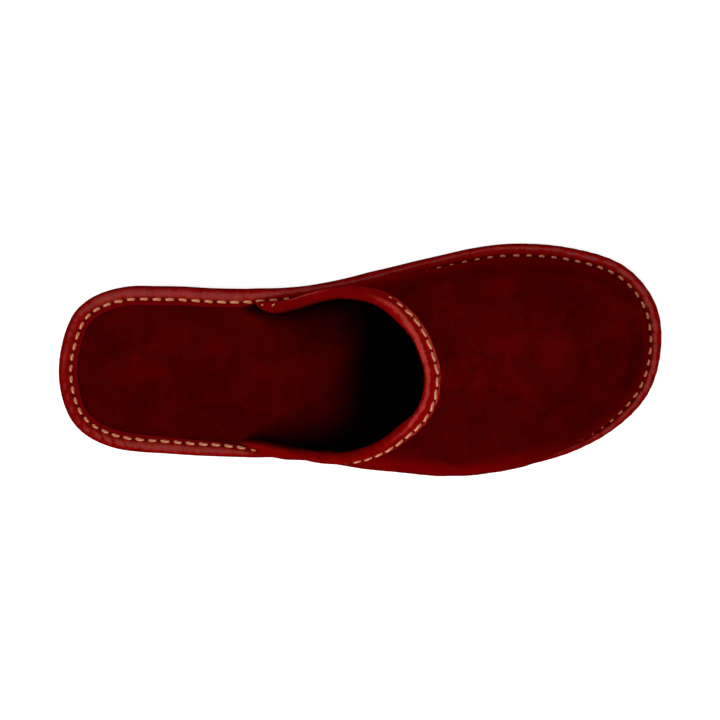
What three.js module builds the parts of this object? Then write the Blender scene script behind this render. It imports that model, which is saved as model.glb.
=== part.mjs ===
// Backless house slipper for the right foot: a napped felt upper on a wedge sole, with one leather
// strip folded round the sole edge and one leather tape folded over the collar.
//
// Millimetres, +X towards the toe, +Y towards the other foot (medial), +Z up, standing on z = 0.
// Every piece is worked out from the sole outline, the height lines along it and the table of
// spokes, which are the lines that climb from the sole edge to the collar.

import * as THREE from 'three';

// ---------------------------------------------------------------- driving dimensions

const LENGTH = 265;
const BALL_WIDTH = 101;
const INSTEP_HEIGHT = 65;

// Heights along the sole; "from" and "to" are shares of the length.
const WEDGE = { heel: 13.5, forefoot: 6, from: 0.16, to: 0.66 };
const TOE_SPRING = { height: 8, from: 0.76, power: 1.9 };
const ARCH = { height: 3, from: 0.24, full: 0.37, falls: 0.4, to: 0.53 };
const HEEL_ROUND = { height: 1.2, to: 0.04 };
const HEEL_CUP = { depth: 1.6, from: 0.03, full: 0.1, rises: 0.2, to: 0.36 };
const BOARD = 4.5;

const FELT = 2.4;
const LEATHER = 1.1;
const GAP = 0.3;

// Insets are measured in from the sole edge. The binding's flange narrows where the wings begin.
const FLANGE = { heel: 8.4, from: 0.27, to: 0.31 };
const WALL_INSET = { lateral: 5.8, medial: 6.6, from: -0.35, to: 0.4 };
const WALL_CLEARANCE = 1;
const TURNED_FOOT = 2.2;
const LIP = 6.2;
const TAPE_WIDTH = 5.2;
const FOOT_CLEARANCE = 1.3;

// Sole outline from the back of the heel along the medial side to the toe and back along the
// lateral side. "at" is a share of the length, "side" a share of the ball width.
const OUTLINE = [
  { name: 'heel_back', at: 0, side: -0.054 },
  { name: 'heel_corner_medial', at: 0.029, side: 0.217 },
  { name: 'heel_medial', at: 0.091, side: 0.309 },
  { name: 'heel_front_medial', at: 0.181, side: 0.32 },
  { name: 'waist_medial', at: 0.317, side: 0.306 },
  { name: 'arch_medial', at: 0.472, side: 0.353 },
  { name: 'ball_rear_medial', at: 0.604, side: 0.437 },
  { name: 'ball_medial', at: 0.736, side: 0.504 },
  { name: 'big_toe_side', at: 0.853, side: 0.487 },
  { name: 'big_toe_corner', at: 0.941, side: 0.407 },
  { name: 'big_toe_front', at: 0.989, side: 0.253 },
  { name: 'toe_tip', at: 1, side: 0.074 },
  { name: 'third_toe', at: 0.978, side: -0.15 },
  { name: 'little_toe', at: 0.907, side: -0.334 },
  { name: 'little_toe_rear', at: 0.808, side: -0.441 },
  { name: 'ball_lateral', at: 0.687, side: -0.493 },
  { name: 'ball_rear_lateral', at: 0.566, side: -0.483 },
  { name: 'waist_lateral', at: 0.392, side: -0.433 },
  { name: 'heel_front_lateral', at: 0.196, side: -0.407 },
  { name: 'heel_lateral', at: 0.083, side: -0.372 },
  { name: 'heel_corner_lateral', at: 0.025, side: -0.277 },
];

// Spokes of the upper, from the end of the lateral wing round the toe to the end of the medial
// wing. "foot" is where the spoke leaves the sole edge, as a share of the length. "x" and "y" are
// where it meets the collar, as shares of the length and the ball width, and "rise" is the
// collar's height there as a share of the instep height.
const SPOKES = [
  { name: 'lateral_end', foot: 0.33, x: 0.325, y: -0.366, rise: 0.385 },
  { name: 'lateral_rise', foot: 0.374, x: 0.364, y: -0.389, rise: 0.46 },
  { name: 'lateral_wing', foot: 0.43, x: 0.411, y: -0.411, rise: 0.585 },
  { name: 'lateral_waist', foot: 0.498, x: 0.464, y: -0.418, rise: 0.708 },
  { name: 'lateral_quarter', foot: 0.589, x: 0.516, y: -0.385, rise: 0.82 },
  { name: 'lateral_ball', foot: 0.694, x: 0.565, y: -0.303, rise: 0.905 },
  { name: 'lateral_toes', foot: 0.838, x: 0.599, y: -0.193, rise: 0.965 },
  { name: 'toe', foot: 1, x: 0.609, y: -0.064, rise: 0.99 },
  { name: 'medial_toes', foot: 0.906, x: 0.6, y: 0.042, rise: 0.985 },
  { name: 'medial_ball', foot: 0.777, x: 0.584, y: 0.134, rise: 0.962 },
  { name: 'medial_quarter', foot: 0.657, x: 0.553, y: 0.228, rise: 0.905 },
  { name: 'medial_arch', foot: 0.558, x: 0.513, y: 0.285, rise: 0.828 },
  { name: 'medial_waist', foot: 0.483, x: 0.466, y: 0.309, rise: 0.725 },
  { name: 'medial_wing', foot: 0.42, x: 0.417, y: 0.283, rise: 0.605 },
  { name: 'medial_rise', foot: 0.372, x: 0.371, y: 0.246, rise: 0.47 },
  { name: 'medial_end', foot: 0.332, x: 0.331, y: 0.236, rise: 0.388 },
];

// How the felt stands along each spoke. "slope" is its fall at the collar in degrees and "reach"
// how far that fall holds, "shoulder" the height to which the wall stands up from the sole edge,
// and "bulge" how far it leans out over it, in millimetres.
const WALLS = {
  lateral_end: { slope: 118, reach: 1, shoulder: 2, bulge: 0.8 },
  lateral_rise: { slope: 108, reach: 2.5, shoulder: 6, bulge: 3 },
  lateral_wing: { slope: 98, reach: 5, shoulder: 11, bulge: 5 },
  lateral_waist: { slope: 80, reach: 8, shoulder: 15, bulge: 7 },
  lateral_quarter: { slope: 54, reach: 11, shoulder: 20, bulge: 8.2 },
  lateral_ball: { slope: 34, reach: 17, shoulder: 25, bulge: 9.4 },
  lateral_toes: { slope: 21, reach: 28, shoulder: 27, bulge: 5 },
  toe: { slope: 14, reach: 42, shoulder: 29, bulge: 0.8 },
  medial_toes: { slope: 17, reach: 32, shoulder: 28, bulge: 0.8 },
  medial_ball: { slope: 26, reach: 20, shoulder: 27, bulge: 1 },
  medial_quarter: { slope: 42, reach: 14, shoulder: 24, bulge: 2.5 },
  medial_arch: { slope: 62, reach: 11, shoulder: 20, bulge: 4 },
  medial_waist: { slope: 84, reach: 8, shoulder: 15, bulge: 4 },
  medial_wing: { slope: 95, reach: 5, shoulder: 10, bulge: 2 },
  medial_rise: { slope: 92, reach: 2.5, shoulder: 5, bulge: 0.4 },
  medial_end: { slope: 92, reach: 1, shoulder: 2, bulge: 0.1 },
};

// Fineness of the meshes: rungs across the sole and points on each, and the felt's columns, a
// pitch in millimetres apart, with the steps up each.
const STATIONS = 30;
const RUNGS = 6;
const CROWDING = 0.5;
const COLUMN_PITCH = 9;
const WALL_STEPS = 11;

// ---------------------------------------------------------------- small helpers

const mix = (a, b, t) => a + (b - a) * t;

function smooth(from, to, value) {
  const t = THREE.MathUtils.clamp((value - from) / (to - from), 0, 1);
  return t * t * (3 - 2 * t);
}

// Value of a smooth curve through a table column at a fractional row number.
function column(rows, key, row) {
  const last = rows.length - 1;
  const i = Math.min(Math.floor(row), last - 1);
  const t = row - i;
  const [p1, p2] = [rows[i][key], rows[i + 1][key]];
  const p0 = i > 0 ? rows[i - 1][key] : 2 * p1 - p2;
  const p3 = i + 2 <= last ? rows[i + 2][key] : 2 * p2 - p1;
  const curve = (2 * p0 - 5 * p1 + 4 * p2 - p3) * t + (3 * p1 - p0 - 3 * p2 + p3) * t * t;
  return p1 + 0.5 * t * (p2 - p0 + curve);
}

function mesh(name, points, faces, look) {
  const geometry = new THREE.BufferGeometry().setFromPoints(points);
  geometry.setIndex(faces);
  geometry.computeVertexNormals();
  const made = new THREE.Mesh(geometry, new THREE.MeshStandardMaterial(look));
  made.name = name;
  return made;
}

function addQuad(faces, a, b, c, d) {
  faces.push(a, b, c, a, c, d);
}

// ---------------------------------------------------------------- sole outline

const outlineCurve = new THREE.CatmullRomCurve3(
  OUTLINE.map((row) => new THREE.Vector3(row.at * LENGTH, row.side * BALL_WIDTH, 0)),
  true,
);
outlineCurve.arcLengthDivisions = 1200;

const UP = new THREE.Vector3(0, 0, 1);

// Point and outward normal of the outline at a share of its way round.
function edgeAt(share) {
  const wrapped = THREE.MathUtils.euclideanModulo(share, 1);
  const point = outlineCurve.getPointAt(wrapped);
  const outward = UP.clone().cross(outlineCurve.getTangentAt(wrapped)).normalize();
  return { point, outward };
}

// Share of the way round at which the outline is furthest along +X.
function findToe() {
  let best = 0.5;
  for (let share = 0.4; share < 0.6; share += 0.0005) {
    if (outlineCurve.getPointAt(share).x > outlineCurve.getPointAt(best).x) best = share;
  }
  return best;
}
const TOE_SHARE = findToe();

// Share at which one side of the outline passes a distance from the heel.
function shareAt(x, medial) {
  let heelward = medial ? 0 : 1;
  let toeward = TOE_SHARE;
  for (let step = 0; step < 40; step += 1) {
    const middle = (heelward + toeward) / 2;
    if (outlineCurve.getPointAt(Math.min(middle, 0.99999)).x < x) heelward = middle;
    else toeward = middle;
  }
  return (heelward + toeward) / 2;
}

// How far in from the edge the outer face of the upper stands.
function wallInset(edge) {
  const { lateral, medial, from, to } = WALL_INSET;
  return mix(lateral, medial, smooth(from, to, edge.point.y / BALL_WIDTH));
}

function insetPoint(edge, inset, z) {
  const point = edge.point.clone().addScaledVector(edge.outward, -inset);
  point.z = z;
  return point;
}

// ---------------------------------------------------------------- height lines along the shoe

function toeSpring(at) {
  const beyond = Math.max(0, (at - TOE_SPRING.from) / (1 - TOE_SPRING.from));
  return TOE_SPRING.height * beyond ** TOE_SPRING.power;
}

// Underside: flat under heel and forefoot, lifted at the arch and at the toe.
function underside(x) {
  const at = x / LENGTH;
  const arch = ARCH.height * smooth(ARCH.from, ARCH.full, at) * (1 - smooth(ARCH.falls, ARCH.to, at));
  const heel = HEEL_ROUND.height * Math.max(0, 1 - at / HEEL_ROUND.to) ** 2;
  return arch + toeSpring(at) + heel;
}

function outsoleTop(x) {
  const at = x / LENGTH;
  return mix(WEDGE.heel, WEDGE.forefoot, smooth(WEDGE.from, WEDGE.to, at)) + toeSpring(at);
}

const boardTop = (x) => outsoleTop(x) + GAP + BOARD;

// The plane on which the binding's top flange lies: top of the footbed and of the upper's foot.
const rimTop = (x) => boardTop(x) + GAP + FELT;

function heelCup(x) {
  const at = x / LENGTH;
  const { depth, from, full, rises, to } = HEEL_CUP;
  return depth * smooth(from, full, at) * (1 - smooth(rises, to, at));
}

// ---------------------------------------------------------------- sole layers

const NOTCH = { from: 0.3, to: 0.321 };

// Places on the two sides that a rung joins, as shares of the way round, closer at heel and toe.
function pairedShares() {
  const sides = (at) => [shareAt(at * LENGTH, true), shareAt(at * LENGTH, false)];
  const pairs = [sides(NOTCH.from), sides(NOTCH.to)];
  for (let i = 1; i <= STATIONS; i += 1) {
    const even = i / (STATIONS + 1);
    const t = even - (CROWDING * Math.sin(2 * Math.PI * even)) / (2 * Math.PI);
    const pair = [TOE_SHARE * t, 1 - (1 - TOE_SHARE) * t];
    if (pairs.every((other) => Math.abs(other[0] - pair[0]) > 0.005)) pairs.push(pair);
  }
  return pairs.sort((a, b) => a[0] - b[0]);
}
const PAIRS = pairedShares();

// Edges in order: heel, medial side, toe, lateral side back to the heel.
const EDGES = [
  edgeAt(0),
  ...PAIRS.map((pair) => edgeAt(pair[0])),
  edgeAt(TOE_SHARE),
  ...[...PAIRS].reverse().map((pair) => edgeAt(pair[1])),
];

function ring(inset, height) {
  return EDGES.map((edge) => {
    const inward = typeof inset === 'function' ? inset(edge.point.x) : inset;
    const point = insetPoint(edge, inward, 0);
    point.z = height(edge.point.x);
    return point;
  });
}

// Closes a ring with rungs from its medial to its lateral points; "dish" lowers their middle.
function addCap(points, faces, first, dish, facingUp) {
  const count = EDGES.length;
  const rungs = PAIRS.map((pair, i) => {
    const [a, b] = [first + 1 + i, first + count - 1 - i];
    const rung = [a];
    for (let j = 1; j < RUNGS; j += 1) {
      const across = (2 * j) / RUNGS - 1;
      const point = points[a].clone().lerp(points[b], j / RUNGS);
      point.z -= dish(point.x) * (1 - across ** 2) ** 2;
      rung.push(points.push(point) - 1);
    }
    return [...rung, b];
  });
  const addFace = (a, b, c) => (facingUp ? faces.push(a, b, c) : faces.push(a, c, b));
  const toe = first + 1 + PAIRS.length;
  for (let j = 0; j < RUNGS; j += 1) {
    addFace(first, rungs[0][j + 1], rungs[0][j]);
    addFace(toe, rungs.at(-1)[j], rungs.at(-1)[j + 1]);
    for (let i = 0; i + 1 < rungs.length; i += 1) {
      const [near, far] = [rungs[i], rungs[i + 1]];
      addFace(near[j], near[j + 1], far[j + 1]);
      addFace(near[j], far[j + 1], far[j]);
    }
  }
}

// A layer from a stack of rings, lowest first, closed below and above.
function layer(name, rings, look, dishBelow, dishAbove) {
  const points = rings.flat();
  const faces = [];
  const count = EDGES.length;
  for (let level = 0; level + 1 < rings.length; level += 1) {
    for (let i = 0; i < count; i += 1) {
      const next = (i + 1) % count;
      const [low, high] = [level * count, (level + 1) * count];
      addQuad(faces, low + i, high + i, high + next, low + next);
    }
  }
  addCap(points, faces, 0, dishBelow, false);
  addCap(points, faces, (rings.length - 1) * count, dishAbove, true);
  return mesh(name, points, faces, look);
}

const flat = () => 0;

function outsole() {
  const lower = (height) => (x) => underside(x) + height;
  const upper = (depth) => (x) => outsoleTop(x) - depth;
  const rings = [
    ring(2.4, lower(0)),
    ring(1.2, lower(0.4)),
    ring(0.6, lower(1.6)),
    ring(0.5, upper(0.6)),
    ring(0.9, upper(0)),
  ];
  return layer('outsole', rings, { color: 0x2a1512, roughness: 0.8 }, flat, flat);
}

const CORE_INSET = LEATHER + GAP;
const FOOTBED_RING = 11.2;

function midsole() {
  const base = (height) => (x) => outsoleTop(x) + GAP + height;
  const top = (depth) => (x) => boardTop(x) - depth;
  const step = LEATHER + GAP;
  const rings = [
    ring(LIP + 1.4, base(0)),
    ring(LIP + 0.7, base(step)),
    ring(CORE_INSET + 0.3, base(step)),
    ring(CORE_INSET, base(step + 0.4)),
    ring(CORE_INSET, top(0.4)),
    ring(CORE_INSET + 0.5, top(0)),
    ring(FOOTBED_RING, top(0)),
  ];
  return layer('midsole', rings, { color: 0x8a6a50, roughness: 0.9 }, flat, heelCup);
}

// The footbed reaches under the binding behind the wings and stays inside the upper before them.
function footbedInset(x) {
  return mix(2, FOOTBED_RING - 0.7, smooth(NOTCH.from * LENGTH, NOTCH.to * LENGTH, x));
}

function insole() {
  const inward = (more) => (x) => footbedInset(x) + more;
  const base = (height) => (x) => boardTop(x) + GAP + height;
  const rings = [
    ring(FOOTBED_RING, base(0)),
    ring(inward(0.4), base(0)),
    ring(inward(0), base(0.5)),
    ring(inward(0), base(FELT - 0.5)),
    ring(inward(0.4), base(FELT)),
    ring(FOOTBED_RING, base(FELT)),
  ];
  return layer('insole', rings, { color: 0x470303, roughness: 1 }, heelCup, heelCup);
}

// ---------------------------------------------------------------- sheets with a thickness

// A sheet from columns of [inner, outer] point pairs, closed all round; "loop" joins its ends.
function sheet(name, columns, loop, look) {
  const rows = columns[0].length;
  const points = columns.flat(2);
  const faces = [];
  const index = (i, j, side) => 2 * ((i % columns.length) * rows + j) + side;
  const spans = loop ? columns.length : columns.length - 1;
  for (let i = 0; i < spans; i += 1) {
    for (let j = 0; j + 1 < rows; j += 1) {
      addQuad(faces, index(i, j, 1), index(i + 1, j, 1), index(i + 1, j + 1, 1), index(i, j + 1, 1));
      addQuad(faces, index(i, j, 0), index(i, j + 1, 0), index(i + 1, j + 1, 0), index(i + 1, j, 0));
    }
    const end = rows - 1;
    addQuad(faces, index(i, 0, 0), index(i + 1, 0, 0), index(i + 1, 0, 1), index(i, 0, 1));
    addQuad(faces, index(i, end, 0), index(i, end, 1), index(i + 1, end, 1), index(i + 1, end, 0));
  }
  if (!loop) {
    const far = columns.length - 1;
    for (let j = 0; j + 1 < rows; j += 1) {
      addQuad(faces, index(0, j, 0), index(0, j, 1), index(0, j + 1, 1), index(0, j + 1, 0));
      addQuad(faces, index(far, j, 0), index(far, j + 1, 0), index(far, j + 1, 1), index(far, j, 1));
    }
  }
  return mesh(name, points, faces, look);
}

// ---------------------------------------------------------------- upper

const ROWS = SPOKES.length - 1;
const TOE_ROW = SPOKES.findIndex((row) => row.name === 'toe');

for (const [i, spoke] of SPOKES.entries()) {
  Object.assign(spoke, WALLS[spoke.name]);
  spoke.share = i === TOE_ROW ? TOE_SHARE : shareAt(spoke.foot * LENGTH, i > TOE_ROW);
}

function collarPoint(row) {
  return new THREE.Vector3(
    column(SPOKES, 'x', row) * LENGTH,
    column(SPOKES, 'y', row) * BALL_WIDTH,
    column(SPOKES, 'rise', row) * INSTEP_HEIGHT,
  );
}

// Horizontal direction across the collar, from the opening towards the felt.
function collarOutward(row) {
  const [before, after] = [Math.max(row - 0.05, 0), Math.min(row + 0.05, ROWS)];
  const along = collarPoint(after).sub(collarPoint(before)).setZ(0);
  return along.cross(UP).normalize();
}

// The outer face of the felt along one spoke, from the wall's foot to the collar.
function wallCurve(row) {
  const edge = edgeAt(column(SPOKES, 'share', row));
  const foot = insetPoint(edge, wallInset(edge), rimTop(edge.point.x) + LEATHER + GAP);
  const [shoulder, bulge] = [column(SPOKES, 'shoulder', row), column(SPOKES, 'bulge', row)];
  const slope = THREE.MathUtils.degToRad(column(SPOKES, 'slope', row));
  const reach = column(SPOKES, 'reach', row);
  const collar = collarPoint(row);
  const fall = collarOutward(row).multiplyScalar(Math.cos(slope)).addScaledVector(UP, -Math.sin(slope));
  const low = foot.clone().addScaledVector(edge.outward, bulge).addScaledVector(UP, shoulder * 0.3);
  const high = foot.clone().addScaledVector(edge.outward, bulge).addScaledVector(UP, shoulder);
  const near = collar.clone().addScaledVector(fall, reach);
  return [foot, low, high, near, collar];
}

function bezier(controls, t) {
  let level = controls.map((point) => point.clone());
  while (level.length > 1) {
    level = level.slice(1).map((point, i) => level[i].clone().lerp(point, t));
  }
  return level[0];
}

// Outer face of the felt: negative heights are the turned foot, 0 to 1 the wall up to the collar.
function feltPoint(row, height) {
  if (height >= 0) return bezier(wallCurve(row), height);
  const edge = edgeAt(column(SPOKES, 'share', row));
  const [rim, wall] = [rimTop(edge.point.x), wallInset(edge)];
  const turns = [
    insetPoint(edge, wall - 0.3, rim + 0.4),
    insetPoint(edge, wall - 1.2, rim),
    insetPoint(edge, TURNED_FOOT, rim),
  ];
  return turns[-height - 1];
}

// Fractional row numbers of the columns, about one pitch apart along the sole edge.
function columnRows() {
  const rows = [];
  for (let i = 0; i < ROWS; i += 1) {
    const arc = Math.abs(SPOKES[i + 1].share - SPOKES[i].share) * outlineCurve.getLength();
    const steps = Math.max(2, Math.round(arc / COLUMN_PITCH));
    for (let k = 0; k < steps; k += 1) rows.push(i + k / steps);
  }
  return [...rows, ROWS];
}
const COLUMN_ROWS = columnRows();

const HEIGHTS = [-3, -2, -1];
for (let j = 0; j <= WALL_STEPS; j += 1) HEIGHTS.push(j / WALL_STEPS);

const feltGrid = COLUMN_ROWS.map((row) => HEIGHTS.map((height) => feltPoint(row, height)));

// Outward normal of the felt at a grid point, from its neighbours.
function feltNormal(i, j) {
  const last = HEIGHTS.length - 1;
  const [west, east] = [feltGrid[Math.max(i - 1, 0)][j], (feltGrid[i + 1] ?? feltGrid[i])[j]];
  const [south, north] = [feltGrid[i][Math.max(j - 1, 0)], feltGrid[i][Math.min(j + 1, last)]];
  return east.clone().sub(west).cross(north.clone().sub(south)).normalize();
}

function upper() {
  const columns = feltGrid.map((line, i) =>
    line.map((point, j) => [point.clone().addScaledVector(feltNormal(i, j), -FELT), point]),
  );
  return sheet('upper', columns, false, { color: 0x4a0202, roughness: 1 });
}

// ---------------------------------------------------------------- bindings

// Section of the sole binding from the top flange round the edge to the lip under the board, as
// [inset, height] of the inner and of the outer face.
function soleBindingSection(edge) {
  const { x } = edge.point;
  const atVamp = wallInset(edge) - WALL_CLEARANCE;
  const flange = mix(FLANGE.heel, atVamp, smooth(FLANGE.from, FLANGE.to, x / LENGTH));
  const [top, low] = [rimTop(x) + GAP, outsoleTop(x) + GAP];
  return [
    [flange, top, flange, top + 0.6],
    [flange - 1.4, top, flange - 1.4, top + LEATHER],
    [2.3, top, 2, top + LEATHER],
    [1.5, top - 0.15, 0.6, top + 0.85],
    [LEATHER, top - 0.6, 0.1, top],
    [LEATHER, top - 2, 0, top - 1.4],
    [LEATHER, low + 2.2, 0, low + 1.8],
    [1.3, low + LEATHER + 0.1, 0.4, low + 0.4],
    [2.2, low + LEATHER, 1.6, low],
    [LIP, low + LEATHER, LIP, low],
  ];
}

function soleBinding() {
  const columns = EDGES.map((edge) =>
    soleBindingSection(edge).map(([innerInset, innerZ, outerInset, outerZ]) => [
      insetPoint(edge, innerInset, innerZ),
      insetPoint(edge, outerInset, outerZ),
    ]),
  );
  return sheet('sole_binding', columns, true, { color: 0x7d1b14, roughness: 0.45 });
}

// Point on the felt's outer face at a distance from the collar, measured down the spoke.
function belowCollar(row, distance) {
  const controls = wallCurve(row);
  let here = controls.at(-1);
  let gone = 0;
  const steps = 80;
  for (let k = steps - 1; k >= 0; k -= 1) {
    const next = bezier(controls, k / steps);
    const stride = next.distanceTo(here);
    if (gone + stride >= distance) return here.clone().lerp(next, (distance - gone) / stride);
    gone += stride;
    here = next;
  }
  return here;
}

function wallLength(row) {
  const controls = wallCurve(row);
  let total = 0;
  for (let k = 0; k < 20; k += 1) {
    total += bezier(controls, k / 20).distanceTo(bezier(controls, (k + 1) / 20));
  }
  return total;
}

function collarBinding() {
  const columns = [];
  const span = 0.5;
  for (const row of COLUMN_ROWS) {
    const [before, after] = [Math.max(row - span, 0), Math.min(row + span, ROWS)];
    const leg = Math.min(TAPE_WIDTH, wallLength(row) - FOOT_CLEARANCE);
    const frameAt = (distance) => {
      const point = belowCollar(row, distance);
      const along = belowCollar(after, distance).sub(belowCollar(before, distance));
      const down = belowCollar(row, distance + 0.5).sub(point);
      const normal = down.clone().cross(along).normalize();
      return { point, normal, down: down.normalize() };
    };
    const place = (distance, beyond, lift) => {
      const frame = frameAt(distance);
      return frame.point.addScaledVector(frame.normal, lift).addScaledVector(frame.down, -beyond);
    };
    const back = -FELT - GAP;
    const tip = GAP + LEATHER;
    columns.push([
      [place(leg, 0, GAP), place(leg, 0, GAP + 0.7)],
      [place(leg * 0.66, 0, GAP), place(leg * 0.66, 0, tip)],
      [place(leg * 0.33, 0, GAP), place(leg * 0.33, 0, tip)],
      [place(0, 0, GAP), place(0, 0, tip)],
      [place(0, GAP, 0.1), place(0, tip * 0.75, tip * 0.6)],
      [place(0, GAP, -FELT / 2), place(0, tip, -FELT / 2)],
      [place(0, GAP, -FELT - 0.1), place(0, tip * 0.75, -FELT - tip * 0.6)],
      [place(0, 0, back), place(0, 0, back - LEATHER)],
      [place(leg * 0.33, 0, back), place(leg * 0.33, 0, back - LEATHER)],
      [place(leg * 0.66, 0, back), place(leg * 0.66, 0, back - LEATHER)],
      [place(leg, 0, back), place(leg, 0, back - 0.7)],
    ]);
  }
  return sheet('collar_binding', columns, false, { color: 0x8a2018, roughness: 0.45 });
}

// ---------------------------------------------------------------- assembly

const slipper = new THREE.Group();
slipper.add(outsole(), midsole(), insole(), upper(), soleBinding(), collarBinding());

// The origin is the middle of the slipper's own box, on the floor.
const box = new THREE.Box3().setFromObject(slipper);
const middle = box.getCenter(new THREE.Vector3());
slipper.position.set(-middle.x, -middle.y, -box.min.z);

export default slipper;
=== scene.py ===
# %% [markdown]
# # A felt slipper, dressed round its frame
# This notebook takes one backless house slipper for the right foot from a plain model to a
# finished picture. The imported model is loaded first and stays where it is: it holds the true
# sizes. Each later step reads its places from that frame, models one piece of the slipper round
# it, gives the piece its finish, and hides the plain solid that the piece stands for.
# The toe points along +X, the big-toe side (medial) along +Y, and the floor is z = 0.

# %% Load the frame
import math
import random

import bmesh
import bpy
import numpy as np
from mathutils import Matrix, Vector, noise
from mathutils.bvhtree import BVHTree
from mathutils.kdtree import KDTree


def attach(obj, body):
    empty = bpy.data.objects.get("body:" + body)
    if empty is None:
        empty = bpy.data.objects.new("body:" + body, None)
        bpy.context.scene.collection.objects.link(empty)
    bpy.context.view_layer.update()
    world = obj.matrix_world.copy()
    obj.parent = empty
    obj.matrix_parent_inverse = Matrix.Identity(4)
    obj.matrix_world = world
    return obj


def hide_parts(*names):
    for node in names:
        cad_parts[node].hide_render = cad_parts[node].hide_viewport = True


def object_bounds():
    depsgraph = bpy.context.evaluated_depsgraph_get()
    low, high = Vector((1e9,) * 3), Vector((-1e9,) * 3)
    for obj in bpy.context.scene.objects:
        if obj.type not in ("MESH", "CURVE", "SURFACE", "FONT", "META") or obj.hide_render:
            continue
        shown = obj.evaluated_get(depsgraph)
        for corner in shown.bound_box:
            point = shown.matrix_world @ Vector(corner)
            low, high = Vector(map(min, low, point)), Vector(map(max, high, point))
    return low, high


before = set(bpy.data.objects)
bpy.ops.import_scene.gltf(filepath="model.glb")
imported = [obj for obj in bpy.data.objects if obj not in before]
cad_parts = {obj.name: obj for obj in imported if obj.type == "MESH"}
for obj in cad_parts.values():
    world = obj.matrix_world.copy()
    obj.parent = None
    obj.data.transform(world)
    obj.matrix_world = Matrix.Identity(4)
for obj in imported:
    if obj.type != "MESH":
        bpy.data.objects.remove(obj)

MM = 0.001
CAD_LOW, CAD_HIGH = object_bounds()
HEEL_X = CAD_LOW.x
LENGTH = CAD_HIGH.x - CAD_LOW.x
SIDES = ("medial", "lateral")
print("frame nodes:", sorted(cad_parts), "length", round(LENGTH / MM, 1), "mm")

# %% [markdown]
# ## Small helpers
# A smooth step blends two values without a corner, and a mix goes from one value to another. What
# changes along the shoe is given as a short table of pairs, which is read between its rows. All of
# them work on single numbers and on whole arrays, which is how the long strips are shaped.

# %% Blending helpers
def smooth(start, stop, value):
    t = np.clip((value - start) / (stop - start), 0, 1)
    return t * t * (3 - 2 * t)


def mix(a, b, t):
    return a + (b - a) * t


def bell(value, width):
    return np.exp(-((value / width) ** 2))


def look_up(value, table):
    return np.interp(value, *zip(*table))


def mm_from_heel(x):
    return (x - HEEL_X) / MM


# %% [markdown]
# ## Lines to work from
# Leather strips and stitches follow lines of the shoe, so two lines are lifted off the frame: the
# sole edge and the collar edge. The frame's meshes have a corner every few millimetres. A smooth
# line through those corners gives as many stations as a strip needs.

# %% A smooth line through known places
def smooth_line(rows, step, closed):
    """Rows about a step apart on the smooth line through rows, whose first three columns are x, y, z."""
    if closed:
        rows = np.vstack([rows[-2:], rows, rows[:3]])
    else:
        rows = np.vstack([2 * rows[0] - rows[1], rows, 2 * rows[-1] - rows[-2]])
    lengths = np.linalg.norm(np.diff(rows[:, :3], axis=0), axis=1)
    way = np.concatenate([[0], np.cumsum(lengths)])
    slope = (rows[2:] - rows[:-2]) / (way[2:] - way[:-2])[:, None]
    rows, way = rows[1:-1], way[1:-1]
    first, last = (1, -2) if closed else (0, -1)
    count = max(2, round((way[last] - way[first]) / step))
    wanted = np.linspace(way[first], way[last], count + 1)
    i = np.clip(np.searchsorted(way, wanted, side="right") - 1, 0, len(way) - 2)
    gap = (way[i + 1] - way[i])[:, None]
    t = (wanted[:, None] - way[i][:, None]) / gap
    start, stop = rows[i], rows[i + 1]
    rise = stop - start
    first_slope, last_slope = slope[i] * gap, slope[i + 1] * gap
    curve = 3 * rise - 2 * first_slope - last_slope + (first_slope + last_slope - 2 * rise) * t
    return start + first_slope * t + curve * t * t


def way_along(points):
    """Distance from the first point, along the line."""
    lengths = np.linalg.norm(np.diff(points, axis=0), axis=1)
    return np.concatenate([[0], np.cumsum(lengths)])


def blur(values, width, closed):
    """Values along a line, averaged over a number of neighbours."""
    kernel = np.hanning(2 * width + 1)[1:-1]
    kernel /= kernel.sum()
    pad = len(kernel) // 2
    mode = "wrap" if closed else "edge"
    flat = np.pad(values, [(pad, pad)] + [(0, 0)] * (values.ndim - 1), mode=mode)
    flat = flat.reshape(len(flat), -1)
    out = [np.convolve(column, kernel, mode="valid") for column in flat.T]
    return np.array(out).T.reshape(values.shape)


SAME_PLACE = 0.01 * MM


def merged(node):
    """A frame node's mesh with its loose triangles joined, to read shapes from."""
    mesh = bmesh.new()
    mesh.from_mesh(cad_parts[node].data)
    bmesh.ops.remove_doubles(mesh, verts=mesh.verts, dist=SAME_PLACE)
    mesh.normal_update()
    return mesh


# %% [markdown]
# The sole edge is where the binding strip of the frame stands upright. Its upright outward faces
# are picked by their normal, and each corner gives the height of the strip's bed, on which its
# top lies, and of its underside. Sorted by angle round the shoe, from the heel along the big-toe
# side to the toe and back, the corners become one closed line.

# %% Read the sole edge
BED_OVER_SIDE = 1.4 * MM
SIDE_OVER_BOTTOM = 1.8 * MM
SOLE_STEP = 0.55 * MM
UPRIGHT = 0.01


def read_sole_edge():
    strip = merged("sole_binding")
    heights = {}
    for face in strip.faces:
        outward = face.normal.xy.dot(face.calc_center_median().xy) > 0
        if abs(face.normal.z) < UPRIGHT and outward:
            for corner in face.verts:
                place = tuple(round(value, 6) for value in corner.co.xy)
                heights.setdefault(place, []).append(corner.co.z)
    strip.free()
    ordered = sorted(heights, key=lambda place: -math.atan2(place[1], place[0]))
    rows = []
    for place in ordered:
        bed = max(heights[place]) + BED_OVER_SIDE
        bottom = min(heights[place]) - SIDE_OVER_BOTTOM
        rows.append((*place, bed, bottom))
    return np.array(rows)


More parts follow.
